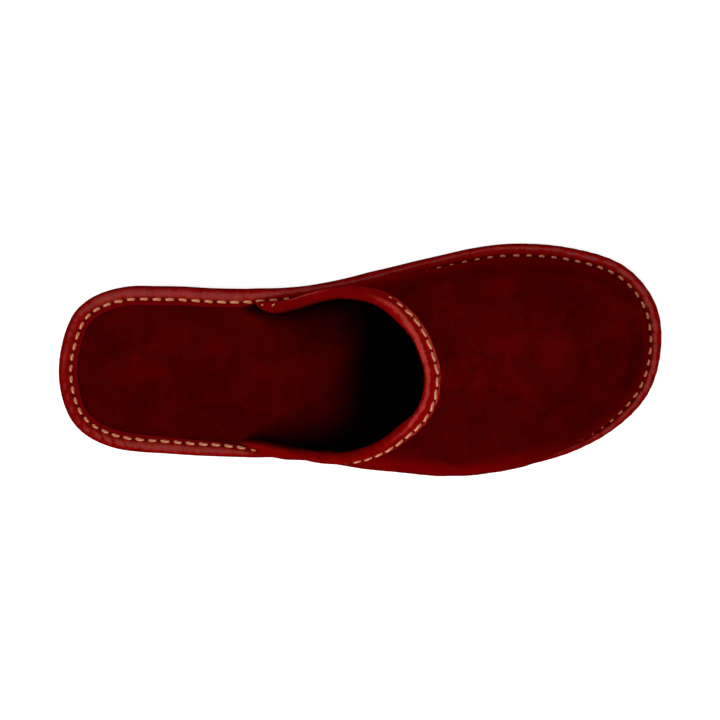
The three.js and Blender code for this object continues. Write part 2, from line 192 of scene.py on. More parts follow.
sole_rows = smooth_line(read_sole_edge(), SOLE_STEP, closed=True)
edge_xy = sole_rows[:, :2]
bed_z = sole_rows[:, 2]
bottom_z = sole_rows[:, 3]
edge_way = way_along(edge_xy)
tangent = np.roll(edge_xy[:-1], -1, axis=0) - np.roll(edge_xy[:-1], 1, axis=0)
tangent = np.vstack([tangent, tangent[:1]])
tangent /= np.linalg.norm(tangent, axis=1)[:, None]
edge_out = np.column_stack([-tangent[:, 1], tangent[:, 0]])
TOE = int(np.argmax(edge_xy[:, 0]))
print("sole edge:", len(edge_xy), "stations round", round(edge_way[-1] / MM, 1), "mm")


def inset_line(inset, z):
    """Points a distance in from the sole edge, one for each station."""
    plan = edge_xy - edge_out * np.asarray(inset).reshape(-1, 1)
    return np.column_stack([plan, np.broadcast_to(z, len(plan))])


# %% [markdown]
# Where the felt stands on the sole is measured with rays: each station looks inwards just above
# the strip's top, and the first thing that it meets is the foot of the felt wall. Behind the
# wings the ray meets nothing, which is how the open heel shows.

# %% Find the foot of the felt wall
LEATHER = 1.1 * MM
FELT = 2.4 * MM
LOOK_FROM = 20 * MM
LOOK_BEHIND = 12 * MM
OVER_STRIP = 0.15 * MM
WALL_BLUR = 12

shell = merged("upper")
shell_tree = BVHTree.FromBMesh(shell)


def wall_foot_insets():
    insets = np.full(len(edge_xy), np.nan)
    for i, (plan, outward) in enumerate(zip(edge_xy, edge_out)):
        start = Vector((*(plan + outward * LOOK_FROM), bed_z[i] + LEATHER + OVER_STRIP))
        hit = shell_tree.ray_cast(start, Vector((*-outward, 0)), LOOK_FROM + LOOK_BEHIND)
        if hit[0] is not None:
            insets[i] = hit[3] - LOOK_FROM
    return insets


wall_inset = wall_foot_insets()
walled = ~np.isnan(wall_inset)
wall_inset = np.interp(np.arange(len(wall_inset)), np.flatnonzero(walled), wall_inset[walled])
wall_inset = blur(wall_inset, WALL_BLUR, closed=False)
first_wall, last_wall = np.flatnonzero(walled)[[0, -1]]
behind_wall = np.where(
    np.arange(len(edge_way)) < TOE,
    edge_way[first_wall] - edge_way,
    edge_way - edge_way[last_wall],
)
behind_wall = np.clip(behind_wall, 0, None)
print("wall foot inset:", np.round(wall_inset[[first_wall, TOE, last_wall]] / MM, 2), "mm")

# %% [markdown]
# The collar edge is the upper rim of the felt shell's outer face. Starting at the highest corner,
# over the instep, a walk along the sharp edges goes both ways and stops at the ends of the wings,
# where three sharp edges meet. Each corner's partner on the inner face tells which way is out.

# %% Read the collar edge
COLLAR_STEP = 0.55 * MM
SHARP = math.radians(55)


def walk(corner, towards, sharp):
    """Corners from one along sharp edges, the first step in the given direction."""
    path = [corner]
    while True:
        here = path[-1]
        ways = [edge.other_vert(here) for edge in here.link_edges if edge in sharp]
        ways = [other for other in ways if other not in path[-2:]]
        if len(path) == 1:
            ways = [max(ways, key=lambda other: (other.co - here.co).dot(towards))]
        elif len(ways) != 1:
            return path
        path.append(ways[0])


def read_collar_edge():
    sharp = {edge for edge in shell.edges if edge.calc_face_angle(0) > SHARP}
    corners = {corner for edge in sharp for corner in edge.verts}
    top = max(corners, key=lambda corner: corner.co.z)
    medial = walk(top, Vector((0, 1, 0)), sharp)
    lateral = walk(top, Vector((0, -1, 0)), sharp)
    rows = []
    for corner in lateral[:0:-1] + medial:
        across = [edge for edge in corner.link_edges if edge not in sharp]
        inner = [edge.other_vert(corner) for edge in across if edge.other_vert(corner) in corners]
        partner = min(inner, key=lambda other: abs((other.co - corner.co).length - FELT))
        rows.append((*corner.co, *((corner.co - partner.co) / FELT)))
    return np.array(rows)


collar_rows = smooth_line(read_collar_edge(), COLLAR_STEP, closed=False)
collar = collar_rows[:, :3]
collar_way = way_along(collar)
collar_x = mm_from_heel(collar[:, 0])
on_medial = collar[:, 1] > 0
print("collar edge:", len(collar), "stations over", round(collar_way[-1] / MM, 1), "mm")


# %% [markdown]
# ## Modelling helpers
# Blender's operators act on whatever is selected, so each helper first selects one piece alone.
# A modifier is applied at once, so the finished mesh holds it.

# %% Select, edit, finish
def select_only(piece):
    bpy.ops.object.select_all(action="DESELECT")
    piece.select_set(True)
    bpy.context.view_layer.objects.active = piece


def in_edit_mode(piece, *steps):
    """Runs mesh operators, each given with its settings, on all of a piece."""
    select_only(piece)
    bpy.ops.object.mode_set(mode="EDIT")
    bpy.ops.mesh.select_all(action="SELECT")
    for operator, settings in steps:
        operator(**settings)
    bpy.ops.object.mode_set(mode="OBJECT")


def finish_with(piece, kind, **settings):
    """Adds a modifier with its settings and applies it."""
    select_only(piece)
    modifier = piece.modifiers.new(kind.lower(), kind)
    for key, value in settings.items():
        setattr(modifier, key, value)
    bpy.ops.object.modifier_apply(modifier=modifier.name)


def count_triangles(piece):
    piece.data.calc_loop_triangles()
    print(piece.name, len(piece.data.loop_triangles), "triangles")


# %% [markdown]
# Thousands of places are read and set at once as arrays. A mark is one number from 0 to 1 for
# every vertex, stored on the mesh under a name, so that a finish can read it later.

# %% Read and set places
def numbers_of(items, field, each=1, kind=np.float32):
    """One field of every item of a mesh, as an array."""
    values = np.empty(len(items) * each, kind)
    items.foreach_get(field, values)
    return values


def vertex_places(piece):
    return numbers_of(piece.data.vertices, "co", 3).reshape(-1, 3).astype(float)


def set_vertex_places(piece, places):
    piece.data.vertices.foreach_set("co", places.astype(np.float32).ravel())
    piece.data.update()


def set_marks(piece, marks):
    for name, values in marks.items():
        layer = piece.data.attributes.new(name, "FLOAT", "POINT")
        layer.data.foreach_set("value", np.asarray(values, np.float32).ravel())


# %% [markdown]
# A strip starts as a primitive grid. Its vertices are then laid on the places worked out for
# them, and its UV map is set to the distance along and across the strip, in metres, so that a
# pattern can follow the leather. Solidify gives the sheet its thickness on the inner side.

# %% Lay a grid and make it thick
CLOSING_GAP = 0.001 * MM
SHEET_CORNER = 60


def laid_grid(name, places, closed, **marks):
    """A primitive grid laid on places, an array of stations by rows across by x, y, z."""
    stations, rows = places.shape[:2]
    bpy.ops.object.select_all(action="DESELECT")
    bpy.ops.mesh.primitive_grid_add(x_subdivisions=stations - 1, y_subdivisions=rows - 1, size=1)
    piece = bpy.context.object
    piece.name = name
    piece.data.name = name
    set_vertex_places(piece, np.swapaxes(places, 0, 1).reshape(-1, 3))
    marks["across"] = np.broadcast_to(np.linspace(0, 1, rows), (stations, rows))
    set_marks(piece, {mark: np.transpose(values) for mark, values in marks.items()})
    middle = rows // 2
    along = way_along(places[:, middle])
    across = way_along(places[stations // 2])
    uv = np.stack(np.meshgrid(along, across), axis=-1).reshape(-1, 2)
    corner_of = numbers_of(piece.data.loops, "vertex_index", kind=np.int32)
    piece.data.uv_layers[0].data.foreach_set("uv", uv[corner_of].astype(np.float32).ravel())
    if closed:
        in_edit_mode(piece, (bpy.ops.mesh.remove_doubles, {"threshold": CLOSING_GAP}))
    return piece


def join_all(pieces):
    """Many pieces made one, which keeps the first one's place."""
    select_only(pieces[0])
    for piece in pieces:
        piece.select_set(True)
    bpy.ops.object.join()
    return bpy.context.object


def tree_of(piece, places):
    """A search tree over a piece's faces, with its corners at the places given."""
    faces = [tuple(face.vertices) for face in piece.data.polygons]
    return BVHTree.FromPolygons([tuple(place) for place in places], faces)


def smooth_faces(piece, angle):
    select_only(piece)
    bpy.ops.object.shade_smooth_by_angle(angle=math.radians(angle))


def thick_sheet(name, places, closed, thickness, **marks):
    """A laid grid with its thickness added on the inner side."""
    sheet = laid_grid(name, places, closed, **marks)
    finish_with(sheet, "SOLIDIFY", thickness=thickness, offset=-1, use_rim=True)
    smooth_faces(sheet, SHEET_CORNER)
    count_triangles(sheet)
    return sheet


def finer(rows):
    """Rows across a strip with one more between each two, on the smooth curve through them."""
    before, after = 2 * rows[:, :1] - rows[:, 1:2], 2 * rows[:, -1:] - rows[:, -2:-1]
    ends = np.concatenate([before, rows, after], axis=1)
    halves = (9 * (ends[:, 1:-2] + ends[:, 2:-1]) - ends[:, :-3] - ends[:, 3:]) / 16
    out = np.empty((rows.shape[0], 2 * rows.shape[1] - 1, rows.shape[2]))
    out[:, 0::2] = rows
    out[:, 1::2] = halves
    return out


def unevenness(places, *hills):
    """Soft random lift at each place; hills are given by how far apart, how high and where they start."""
    lift = 0
    for apart, high, start in hills:
        spots = [Vector(place) / (apart * MM) + Vector((start,) * 3) for place in places]
        lift = lift + high * MM * np.array([noise.noise(spot) for spot in spots])
    return lift


# %% [markdown]
# ## The outsole
# The outsole is moulded in one piece from foamed rubber, with wavy grooves under the heel and the
# forefoot that grip the floor. The frame's outsole has the true form in flat facets, so a copy of
# it is joined and rounded. Each groove is a closed bar with a wavy line, as long as the sole's
# width at its place allows, and all of them are cut away in one boolean step.

# %% Round the outsole
PAIRING = math.radians(60)


def rounded_copy(name, node, levels, crease_amount):
    """A frame node's copy, joined, paired into squares and rounded between its sharp edges."""
    piece = bpy.data.objects.new(name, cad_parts[node].data.copy())
    bpy.context.collection.objects.link(piece)
    in_edit_mode(
        piece,
        (bpy.ops.mesh.customdata_custom_splitnormals_clear, {}),
        (bpy.ops.mesh.remove_doubles, {"threshold": SAME_PLACE}),
        (bpy.ops.mesh.tris_convert_to_quads, {"face_threshold": PAIRING, "shape_threshold": PAIRING}),
    )
    mesh = bmesh.new()
    mesh.from_mesh(piece.data)
    crease = mesh.edges.layers.float.new("crease_edge")
    for edge in mesh.edges:
        if edge.calc_face_angle(0) > SHARP:
            edge[crease] = crease_amount
    mesh.to_mesh(piece.data)
    mesh.free()
    squares = [face for face in piece.data.polygons if len(face.vertices) == 4]
    print(name, "squares:", len(squares), "of", len(piece.data.polygons))
    finish_with(piece, "SUBSURF", levels=levels, render_levels=levels)
    return piece


rubber_outsole = rounded_copy("rubber_outsole", "outsole", levels=2, crease_amount=0.85)

# %% Cut the tread
# first and last groove, in mm from the heel
TREAD_ZONES = [(12, 82), (142, 254)]
GROOVE_PITCH = 7
GROOVE_WIDTH = 2.4 * MM
GROOVE_DEPTH = 1.1 * MM
GROOVE_WAVE = 1.8 * MM
WAVE_LENGTH = 24 * MM
TREAD_MARGIN = 7 * MM
GROOVE_BELOW = 2.0 * MM
GROOVE_STATIONS = 41
# share of half the width, height over the sole's underside
GROOVE_SECTION = [(-1.1, -GROOVE_BELOW), (-0.7, GROOVE_DEPTH), (0.7, GROOVE_DEPTH), (1.1, -GROOVE_BELOW)]
GROOVE_SECTION += GROOVE_SECTION[:1]
BELOW_SHOE = -50 * MM
BESIDE_GROOVE = 1 * MM
TREAD_CORNER = 35


def groove_cutter(x, low_y, high_y, floor_z):
    """One wavy bar across the sole; its section is a closed ring of four corners."""
    y = np.linspace(low_y, high_y, GROOVE_STATIONS)
    bend = GROOVE_WAVE * np.sin(2 * math.pi * y / WAVE_LENGTH)
    rows = [
        np.column_stack([x + bend + side * GROOVE_WIDTH / 2, y, floor_z(x) + height + 0 * y])
        for side, height in GROOVE_SECTION
    ]
    return np.stack(rows, axis=1)


outsole_tree = tree_of(rubber_outsole, vertex_places(rubber_outsole))


def outsole_floor(x):
    """Height of the outsole's underside on the middle line."""
    return outsole_tree.ray_cast(Vector((x, 0, BELOW_SHOE)), Vector((0, 0, 1)))[0].z


cutters = []
for first, last in TREAD_ZONES:
    for from_heel in range(first, last + 1, GROOVE_PITCH):
        x = HEEL_X + from_heel * MM
        sides = edge_xy[np.abs(edge_xy[:, 0] - x) < BESIDE_GROOVE, 1]
        grid = groove_cutter(x, sides.min() + TREAD_MARGIN, sides.max() - TREAD_MARGIN, outsole_floor)
        bar = laid_grid("groove", grid, closed=True)
        in_edit_mode(
            bar,
            (bpy.ops.mesh.fill_holes, {"sides": 0}),
            (bpy.ops.mesh.normals_make_consistent, {"inside": False}),
        )
        cutters.append(bar)
tread = join_all(cutters)
finish_with(rubber_outsole, "BOOLEAN", operation="DIFFERENCE", object=tread, solver="EXACT")
bpy.data.objects.remove(tread)
smooth_faces(rubber_outsole, TREAD_CORNER)
print("tread:", len(cutters), "grooves")
count_triangles(rubber_outsole)
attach(rubber_outsole, "root")
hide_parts("outsole")

# %% [markdown]
# ## The felt upper
# The upper is one cut of thick felt, shaped over a last and sewn to the sole round its foot. The
# frame's shell has its true form, in flat facets. A copy is joined into one mesh, its triangles
# are paired into squares, and a subdivision surface rounds it, with the cut edges creased so that
# they stay where they are.

# %% Copy and round the shell
felt = rounded_copy("felt_upper", "upper", levels=3, crease_amount=0.9)
count_triangles(felt)

# %% [markdown]
# ## Seam lines
# Two seams show on this slipper: one round the sole and one along the collar. Leather does not lie
# flat at a seam. It sinks at every needle hole, puffs up between the stitches, and small pleats
# run from the holes to the edge. A seam is described by its line, by the length of one stitch
# with its gap, and by where along that step the thread lies.

# %% Seams
def seam(line, wanted_pitch, thread_share):
    """Step number, place within the step (0 to 1, thread in the middle) and pitch, at each station."""
    way = way_along(line)
    pitch = np.broadcast_to(wanted_pitch, len(way))
    steps = np.concatenate([[0], np.cumsum(np.diff(way) / pitch[1:])])
    count = round(steps[-1])
    steps *= count / steps[-1]
    pitch = np.gradient(way) / np.gradient(steps)
    return {"count": count, "pitch": pitch, "steps": steps, "within": steps % 1.0, "thread": thread_share}


def from_holes(one_seam):
    """Distance along the seam to the nearest needle hole."""
    return np.abs(np.abs(one_seam["within"] - 0.5) - one_seam["thread"] / 2) * one_seam["pitch"]


def between_stitches(one_seam):
    """1 halfway between two stitches, -1 in the middle of one."""
    return np.cos(2 * math.pi * one_seam["within"])


def hole_number(one_seam):
    return np.floor(one_seam["steps"] * 2).astype(int)


# one random list for each thing that varies, so that a change to one leaves the others alone
SEEDS = {"pleats": 11, "heel folds": 53, "crest pieces": 41, "tape pleats": 23, "ribs": 31}
SEEDS |= {"stitch turns": 5, "stitch sizes": 17}


def chance(numbers, thing, length=4096):
    """A fixed random value from 0 to 1 for each number."""
    source = random.Random(SEEDS[thing])
    values = np.array([source.random() for _ in range(length)])
    return values[np.mod(numbers, length)]


# %% [markdown]
# ## The sole binding
# One strip of smooth leather is folded round the sole edge and sewn down through the footbed. Its
# section is a short list of places, each given by how far it lies between the strip's inner rim,
# the seam and the edge, and by its height. The section is laid at every station of the sole edge,
# so the strip has enough points for real pleats. At the back it lies open and wide, and beside
# the felt it narrows to the foot of the wall.

# %% Inner rim and seam of the strip
SEAM_FROM_WALL = 1.5 * MM
RIM_FROM_WALL = 0.35 * MM
# distance from stitch to stitch: mm from the heel, mm
SOLE_PITCH = {
    "medial": [(0, 4.9), (14, 4.9), (30, 5.7), (200, 5.8), (236, 5.1), (265, 5.2)],
    "lateral": [(0, 4.9), (14, 4.8), (34, 5.6), (200, 5.8), (238, 5.2), (265, 5.2)],
}

# width of the strip's top and place of its seam on each side: mm from the heel, mm from the edge
RIM_AT = {
    "medial": [(0, 8.4), (42, 8.2), (68, 7.8), (84, 7.4), (94, 6.3)],
    "lateral": [(0, 8.4), (42, 7.5), (68, 6.4), (76, 5.7), (81, 4.8), (86, 3.4), (92, 2.9), (98, 3.4)],
}
SEAM_AT = {
    "medial": [(0, 5.6), (68, 5.4), (86, 5.1), (96, 4.9)],
    "lateral": [(0, 5.4), (42, 5.1), (70, 4.8), (76, 4.4), (81, 3.8), (86, 2.9), (92, 2.4)],
}
RIM_TO_SEAM = 0.5 * MM
# mm behind the wall's end, or below zero in front of it, where the wall starts to set the rim and
# where it sets it alone
WALL_TAKES_OVER = {"medial": (9, 0.5), "lateral": (-10, -16)}
# at the little toe the seam runs further from the wall: mm from the heel, mm
SEAM_FURTHER_OUT = {"medial": [(0, 0)], "lateral": [(204, 0), (213, 1.3), (232, 1.1), (246, 0.5), (253, 0)]}


def per_side(medial, lateral):
    """At every station, the value for the side that it is on."""
    return np.where(np.arange(len(edge_xy)) < TOE, medial, lateral)


def along_side(table, blurred=12):
    """Value of a table at every station, from its places along both sides."""
    sides = [look_up(mm_from_heel(edge_xy[:, 0]), table[side]) for side in SIDES]
    return blur(per_side(*sides), blurred, closed=False)


past_wall = per_side(edge_way[first_wall] - edge_way, edge_way - edge_way[last_wall]) / MM
walled_share = per_side(*[smooth(*WALL_TAKES_OVER[side], past_wall) for side in SIDES])
rim_inset = mix(along_side(RIM_AT) * MM, wall_inset - RIM_FROM_WALL, walled_share)
seam_inset = mix(along_side(SEAM_AT) * MM, wall_inset - SEAM_FROM_WALL, walled_share)
seam_inset -= along_side(SEAM_FURTHER_OUT) * MM
seam_inset = np.minimum(seam_inset, rim_inset - RIM_TO_SEAM)
sole_seam = seam(inset_line(seam_inset, bed_z), along_side(SOLE_PITCH) * MM, thread_share=0.7)
print("sole seam:", sole_seam["count"], "steps, pitch", round(sole_seam["pitch"].mean() / MM, 2), "mm")

# %% [markdown]
# The section's height is given over the bed, so that the strip follows the rise of the heel.

# %% Section of the strip
# place 0 is the inner rim, 1 the seam and 2 the sole edge; heights are over the bed, in mm
TOP_SECTION = [
    ("rim_foot", 0.00, 0.10),
    ("rim", 0.03, 0.62),
    ("rim_top", 0.14, 0.92),
    ("slope", 0.45, 1.10),
    ("seam_side", 0.80, 1.08),
    ("seam", 1.00, 0.90),
    ("band_start", 1.10, 1.22),
    ("band_rise", 1.25, 1.62),
    ("band", 1.48, 1.86),
    ("band_fall", 1.68, 1.72),
    ("roll", 1.84, 1.24),
    ("roll_low", 1.95, 0.52),
    ("edge", 2.00, -0.45),
]
# the rest of the section hangs down the side and turns under; inset and height over the bottom
SIDE_SECTION = [
    ("side_high", -0.10, 4.9),
    ("side", -0.15, 3.2),
    ("side_low", 0.00, 1.5),
    ("turn", 0.45, 0.45),
    ("under", 1.60, 0.05),
    ("lip", 4.20, 0.05),
]
SIDE_SPACING = 0.1


def names_of(section):
    return [row[0] for row in section]


def strip_section(rim, seam_line):
    """Insets and heights of the section at every station, stations by rows."""
    insets, heights, places = [], [], []
    for _, place, height in TOP_SECTION:
        inset = mix(rim, seam_line, place) if place < 1 else mix(seam_line, 0, place - 1)
        insets.append(inset)
        heights.append(bed_z + height * MM)
        places.append(place)
    for _, inset, height in SIDE_SECTION:
        insets.append(np.full(len(rim), inset * MM))
        heights.append(bottom_z + height * MM)
        places.append(places[-1] + SIDE_SPACING)
    return np.array(insets).T, np.array(heights).T, np.array(places)


strip_inset, strip_z, strip_place = strip_section(rim_inset, seam_inset)
strip = finer(np.stack([strip_inset, strip_z], axis=-1))
strip_inset, strip_z = strip[..., 0], strip[..., 1]
strip_place = np.interp(np.arange(strip.shape[1]), np.arange(len(strip_place)) * 2, strip_place)
print("strip:", strip.shape[0], "stations by", strip.shape[1], "rows")

# %% [markdown]
# The pull of the seam depends on the curve. Round the heel and above all round the toe the strip
# has more leather than the edge needs, so it puckers more there. Along the sides it lies calm.

# %% How strongly the seam pulls
# how much of each stitch shows, from 0, sunk under the felt, to 1, full: mm from the heel, share
STITCH_SHOWS = {
    "medial": [
        (0, 1), (94, 1), (97, 0.7), (104, 0.6), (106, 0), (150, 0), (160, 0.5), (200, 0.7), (265, 0.85),
    ],
    "lateral": [
        (0, 1), (80, 1), (87, 0.7), (89, 0), (206, 0), (212, 0.26), (240, 0.3), (247, 0.6), (254, 0.85),
    ],
}
# the heel's and the toe's curve begin and are full: mm from the heel
HEEL_CURVE, TOE_CURVE = (45, 8), (185, 245)
OUTER_HEEL_Y = (0, -18)
PULL_ALONG, PULL_HEEL, PULL_TOE, PULL_OUTER_HEEL = 0.55, 0.45, 1.0, 0.5
SEWN_FROM = (0.1, 0.7)
sole_shown = along_side(STITCH_SHOWS, blurred=3)
station_x = edge_xy[:, 0]
heel_curve = smooth(*HEEL_CURVE, mm_from_heel(station_x))
toe_curve = smooth(*TOE_CURVE, mm_from_heel(station_x))
outer_heel = heel_curve * smooth(*OUTER_HEEL_Y, edge_xy[:, 1] / MM)
pull = PULL_ALONG + PULL_HEEL * heel_curve + PULL_TOE * toe_curve + PULL_OUTER_HEEL * outer_heel
pull = pull * smooth(*SEWN_FROM, sole_shown)
print("pull along the side, at the heel and at the toe:", np.round(pull[[TOE // 2, 0, TOE]], 2))

# %% Pucker the strip along its seam
# depths, in mm, as are the widths and shifts in the formulas
HOLE_SINKS, THREAD_SINKS, PUFF_RISES, PLEAT_SINKS = 0.34, 0.16, 0.13, 0.24
# reach of a pleat past the seam, outwards and inwards, in mm
PLEAT_OUT, PLEAT_IN = (4.2, 0.8), (-1.6, 0.2)


def pucker(seam_line, one_seam, pulls, inset):
    """How far a strip's leather moves up, stations by rows, and where the seam pinches it."""
    outward = (seam_line[:, None] - inset) / MM
    holes = from_holes(one_seam)[:, None] / MM
    each = chance(hole_number(one_seam), "pleats")[:, None]
    between = between_stitches(one_seam)[:, None]
    sink = HOLE_SINKS * bell(holes, 0.62) * bell(outward, 0.7) + THREAD_SINKS * bell(outward, 0.75)
    puff = PUFF_RISES * between * bell(outward - 1.5, 1.7) * (0.5 + each)
    pleat_reach = smooth(*PLEAT_OUT, outward) * smooth(*PLEAT_IN, outward)
    pleat = PLEAT_SINKS * bell(holes, 0.5) * pleat_reach * (0.3 + 1.1 * each)
    sewn_here = smooth(0.0, 0.3, pulls)[:, None]
    lift = (puff - pleat) * pulls[:, None] - sink * sewn_here
    pinch = bell(holes, 0.6) * (bell(outward, 0.9) + 0.5 * pleat_reach * each * pulls[:, None])
    return lift * MM, np.clip(pinch * sewn_here, 0, 1)


strip_lift, strip_pinch = pucker(seam_inset, sole_seam, pull, strip_inset)
print("strip sinks at most", round(-strip_lift.min() / MM, 2), "mm")

# %% [markdown]
# Round the outer side of the heel the strip is pulled hardest. There a slanted fold runs from
# every gap between two stitches to the edge, and the leather between the folds stands proud. A
# place's step number, shifted by how far out it lies, tells how near it is to a fold.

# %% Fold the strip round the outer heel
HEEL_FOLD_SLANT = 0.85
HEEL_FOLD_WIDTH = 0.8 * MM
HEEL_FOLD_DEPTH = 0.22 * MM
HEEL_FOLD_BEGINS = (0.2 * MM, 1.0 * MM)
HEEL_FOLD_WEAKEST = 0.4
HEEL_FOLD_DARK = 0.3
outward = seam_inset[:, None] - strip_inset
pitch = sole_seam["pitch"][:, None]
slanted_steps = sole_seam["steps"][:, None] + HEEL_FOLD_SLANT * outward / pitch
fold_number = np.round(slanted_steps).astype(int)
heel_folds = bell((slanted_steps - fold_number) * pitch, HEEL_FOLD_WIDTH)
heel_folds *= outer_heel[:, None] * smooth(*HEEL_FOLD_BEGINS, outward)
heel_folds *= HEEL_FOLD_WEAKEST + 0.6 * chance(fold_number, "heel folds")
strip_lift = strip_lift - HEEL_FOLD_DEPTH * heel_folds
# painted shade in the slanted heel folds
strip_pinch = np.maximum(strip_pinch, HEEL_FOLD_DARK * heel_folds)
print("strongest heel fold:", round(heel_folds.max(), 2))

# %% [markdown]
# The strip's side follows the sole edge, but the leather stands a little fuller in some places and
# lies closer in others. Painted shade darkens the crease between the strip and the felt, so it
# counts as a pinch too.

# %% Places of the strip
# how far the strip stands out beyond its usual place: mm from the heel, mm
FULLER = {
    "medial": [
        (0, 0.1), (10, 0), (64, 0.2), (80, 0.5), (88, 0.4),
        (97, -0.2), (109, -0.6), (121, -0.2), (137, 0.4), (151, 0),
    ],
    "lateral": [
        (0, 0.1), (10, 0.1), (17, 0.4), (86, 0.4), (92, 0), (200, 0), (212, 0.5), (224, 0.4), (234, 0),
    ],
}
# lumps are sets of hills: mm apart, mm high, and a shift that makes each set its own
STRIP_LUMPS = [(7, 0.16, 0), (2.6, 0.07, 7)]
EDGE_WAVE = 0.05 * MM
CREASE_DARK = 0.5
# ranges across the section, whose places are 0 at the rim, 1 at the seam and 2 at the edge
TOP_RANGE, CREASE_RANGE, LUMP_RANGE = (2.02, 1.9), (0.30, 0.06), (2.05, 1.7)
EDGE_RISES, EDGE_FALLS = (1.3, 1.9), (2.5, 2.2)
on_top = smooth(*TOP_RANGE, strip_place)[None, :]
in_crease = smooth(*CREASE_RANGE, strip_place)[None, :] * walled_share[:, None]
strip_pinch = np.maximum(strip_pinch, CREASE_DARK * in_crease)
strip_z = strip_z + strip_lift * on_top
edge_wave = EDGE_WAVE * between_stitches(sole_seam) * toe_curve
edge_band = smooth(*EDGE_RISES, strip_place) * smooth(*EDGE_FALLS, strip_place)
strip_inset = strip_inset - (edge_wave + along_side(FULLER, blurred=6) * MM)[:, None] * edge_band[None, :]
plan = edge_xy[:, None, :] - edge_out[:, None, :] * strip_inset[..., None]
strip_places = np.concatenate([plan, strip_z[..., None]], axis=2)
lumps = unevenness(strip_places.reshape(-1, 3), *STRIP_LUMPS).reshape(strip_z.shape)
strip_places[..., 2] += lumps * smooth(*LUMP_RANGE, strip_place)[None, :]
strip_places[-1] = strip_places[0]
print("strip's lowest and highest place:", np.round(np.ptp(strip_places[..., 2]) / MM, 1), "mm apart")

# %% [markdown]
# Red leather pales where it is rubbed. On the strip that is the crest between the seam and the
# edge, and its paler colour there is partly wear and partly a painted highlight. How proud a place
# stands and how much it is handled are added up here and stored on the mesh, where the finish
# reads them. Round the toe the crest breaks into short slanted pieces.

# %% Where the strip is rubbed
# how much the strip has been handled, from 0 to 1: mm from the heel, share
HANDLED = {
    "medial": [
        (0, 0.35), (5, 0.4), (16, 0.66), (70, 0.66), (95, 0.7),
        (130, 0.72), (200, 0.65), (235, 0.8), (265, 0.9),
    ],
    "lateral": [
        (0, 0.35), (6, 0.45), (16, 0.55), (24, 0.66), (70, 0.6), (84, 0.5),
        (90, 0), (190, 0), (225, 0.55), (265, 0.9),
    ],
}
# the crest that stands proud and rubs first: mm from the heel, mm from the sole edge
CREST_AT = {
    "medial": [(0, 2.4), (16, 2.8), (78, 2.8), (100, 2.1), (130, 1.8), (200, 1.6), (240, 2.3), (265, 2.8)],
    "lateral": [(0, 2.3), (16, 2.7), (70, 2.6), (84, 1.7), (190, 1.2), (225, 1.6), (250, 2.2), (265, 2.8)],
}
CREST_HALF_WIDTH = {
    "medial": [
        (0, 1.6), (16, 2.5), (78, 2.4), (100, 1.2), (120, 0.8),
        (145, 0.65), (200, 0.8), (240, 1.2), (265, 1.5),
    ],
    "lateral": [(0, 1.6), (16, 2.2), (70, 2.1), (84, 1.0), (190, 0.6), (238, 0.8), (265, 1.4)],
}
# one piece of the broken crest in stitches, how slanted its ends are, and how steep its sides
CREST_PIECE = 1.6
BREAK_SLANT = 4 * MM
CREST_STEEP = 2.6
CREST_BREAKS = 0.4
HANDLED_ADDS, EXPOSED_FROM = 0.6, 0.5


def exposure(proud, handled):
    """How far a place is rubbed, from how proud it stands and how much it is handled, both 0 to 1."""
    return proud + HANDLED_ADDS * handled - EXPOSED_FROM


pieces = (sole_seam["steps"][:, None] + strip_inset / BREAK_SLANT) / CREST_PIECE
in_piece = np.sin(math.pi * (pieces % 1))
jog = (chance(np.floor(pieces).astype(int), "crest pieces") - 0.5) * mix(0.3, 1.0, toe_curve)[:, None]
crest = (along_side(CREST_AT)[:, None] + jog * in_piece) * MM
half_width = along_side(CREST_HALF_WIDTH)[:, None] * mix(1.0, 0.55 + 0.6 * in_piece, toe_curve[:, None])
from_crest = (strip_inset - crest) / (half_width * MM)
break_here = CREST_BREAKS * (1 - in_piece) ** 2 * toe_curve[:, None]
strip_proud = np.exp(-np.abs(from_crest) ** CREST_STEEP) * (1 - break_here) * (1 - 0.9 * heel_folds) * on_top
strip_handled = np.broadcast_to(along_side(HANDLED, blurred=6)[:, None], strip_z.shape)
strip_exposed = exposure(strip_proud, strip_handled)
print("share of the strip that is rubbed:", round((strip_exposed > 0.5).mean(), 3))

# %% Lay the strip and give it its thickness
strip_marks = {"pinch": strip_pinch * on_top, "handled": strip_handled, "exposed": strip_exposed}
sole_leather = thick_sheet("sole_leather", strip_places, closed=True, thickness=LEATHER, **strip_marks)
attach(sole_leather, "root")
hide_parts("sole_binding")

# %% [markdown]
# ## Shape the felt
# Thick felt does not fold sharply. It takes soft hollows where the foot bends it and small
# gathers where the seam draws it to the sole. Each hollow is a row with its place, direction,
# length, width and depth, and the felt is pressed in or out along its own surface.

# %% Hollows and ridges
# mm from the heel and from the middle line, turn in degrees, then length, width and depth in mm,
# the depth below zero for a ridge
HOLLOWS = {
    "flex_line": (196, 2, 84, 34, 8, 0.34),
    "flex_ridge": (208, -4, 80, 30, 7, -0.26),
    "medial_throat": (158, 30, 48, 20, 5, 0.42),
    "medial_ridge": (166, 34, 44, 20, 5, -0.3),
    "lateral_throat": (158, -36, -42, 22, 6, 0.45),
    "lateral_ridge": (170, -38, -38, 24, 6, -0.32),
    "outer_quarter_swell": (118, -45, -8, 12, 8, -0.5),
    "ball_swell": (167, -48, -4, 13, 8, -0.45),
    "little_toe_swell": (207, -45, 14, 18, 9, -2.0),
    "toe_hollow": (238, 12, 70, 24, 9, 0.3),
    "toe_side": (232, -22, 40, 18, 6, 0.3),
}


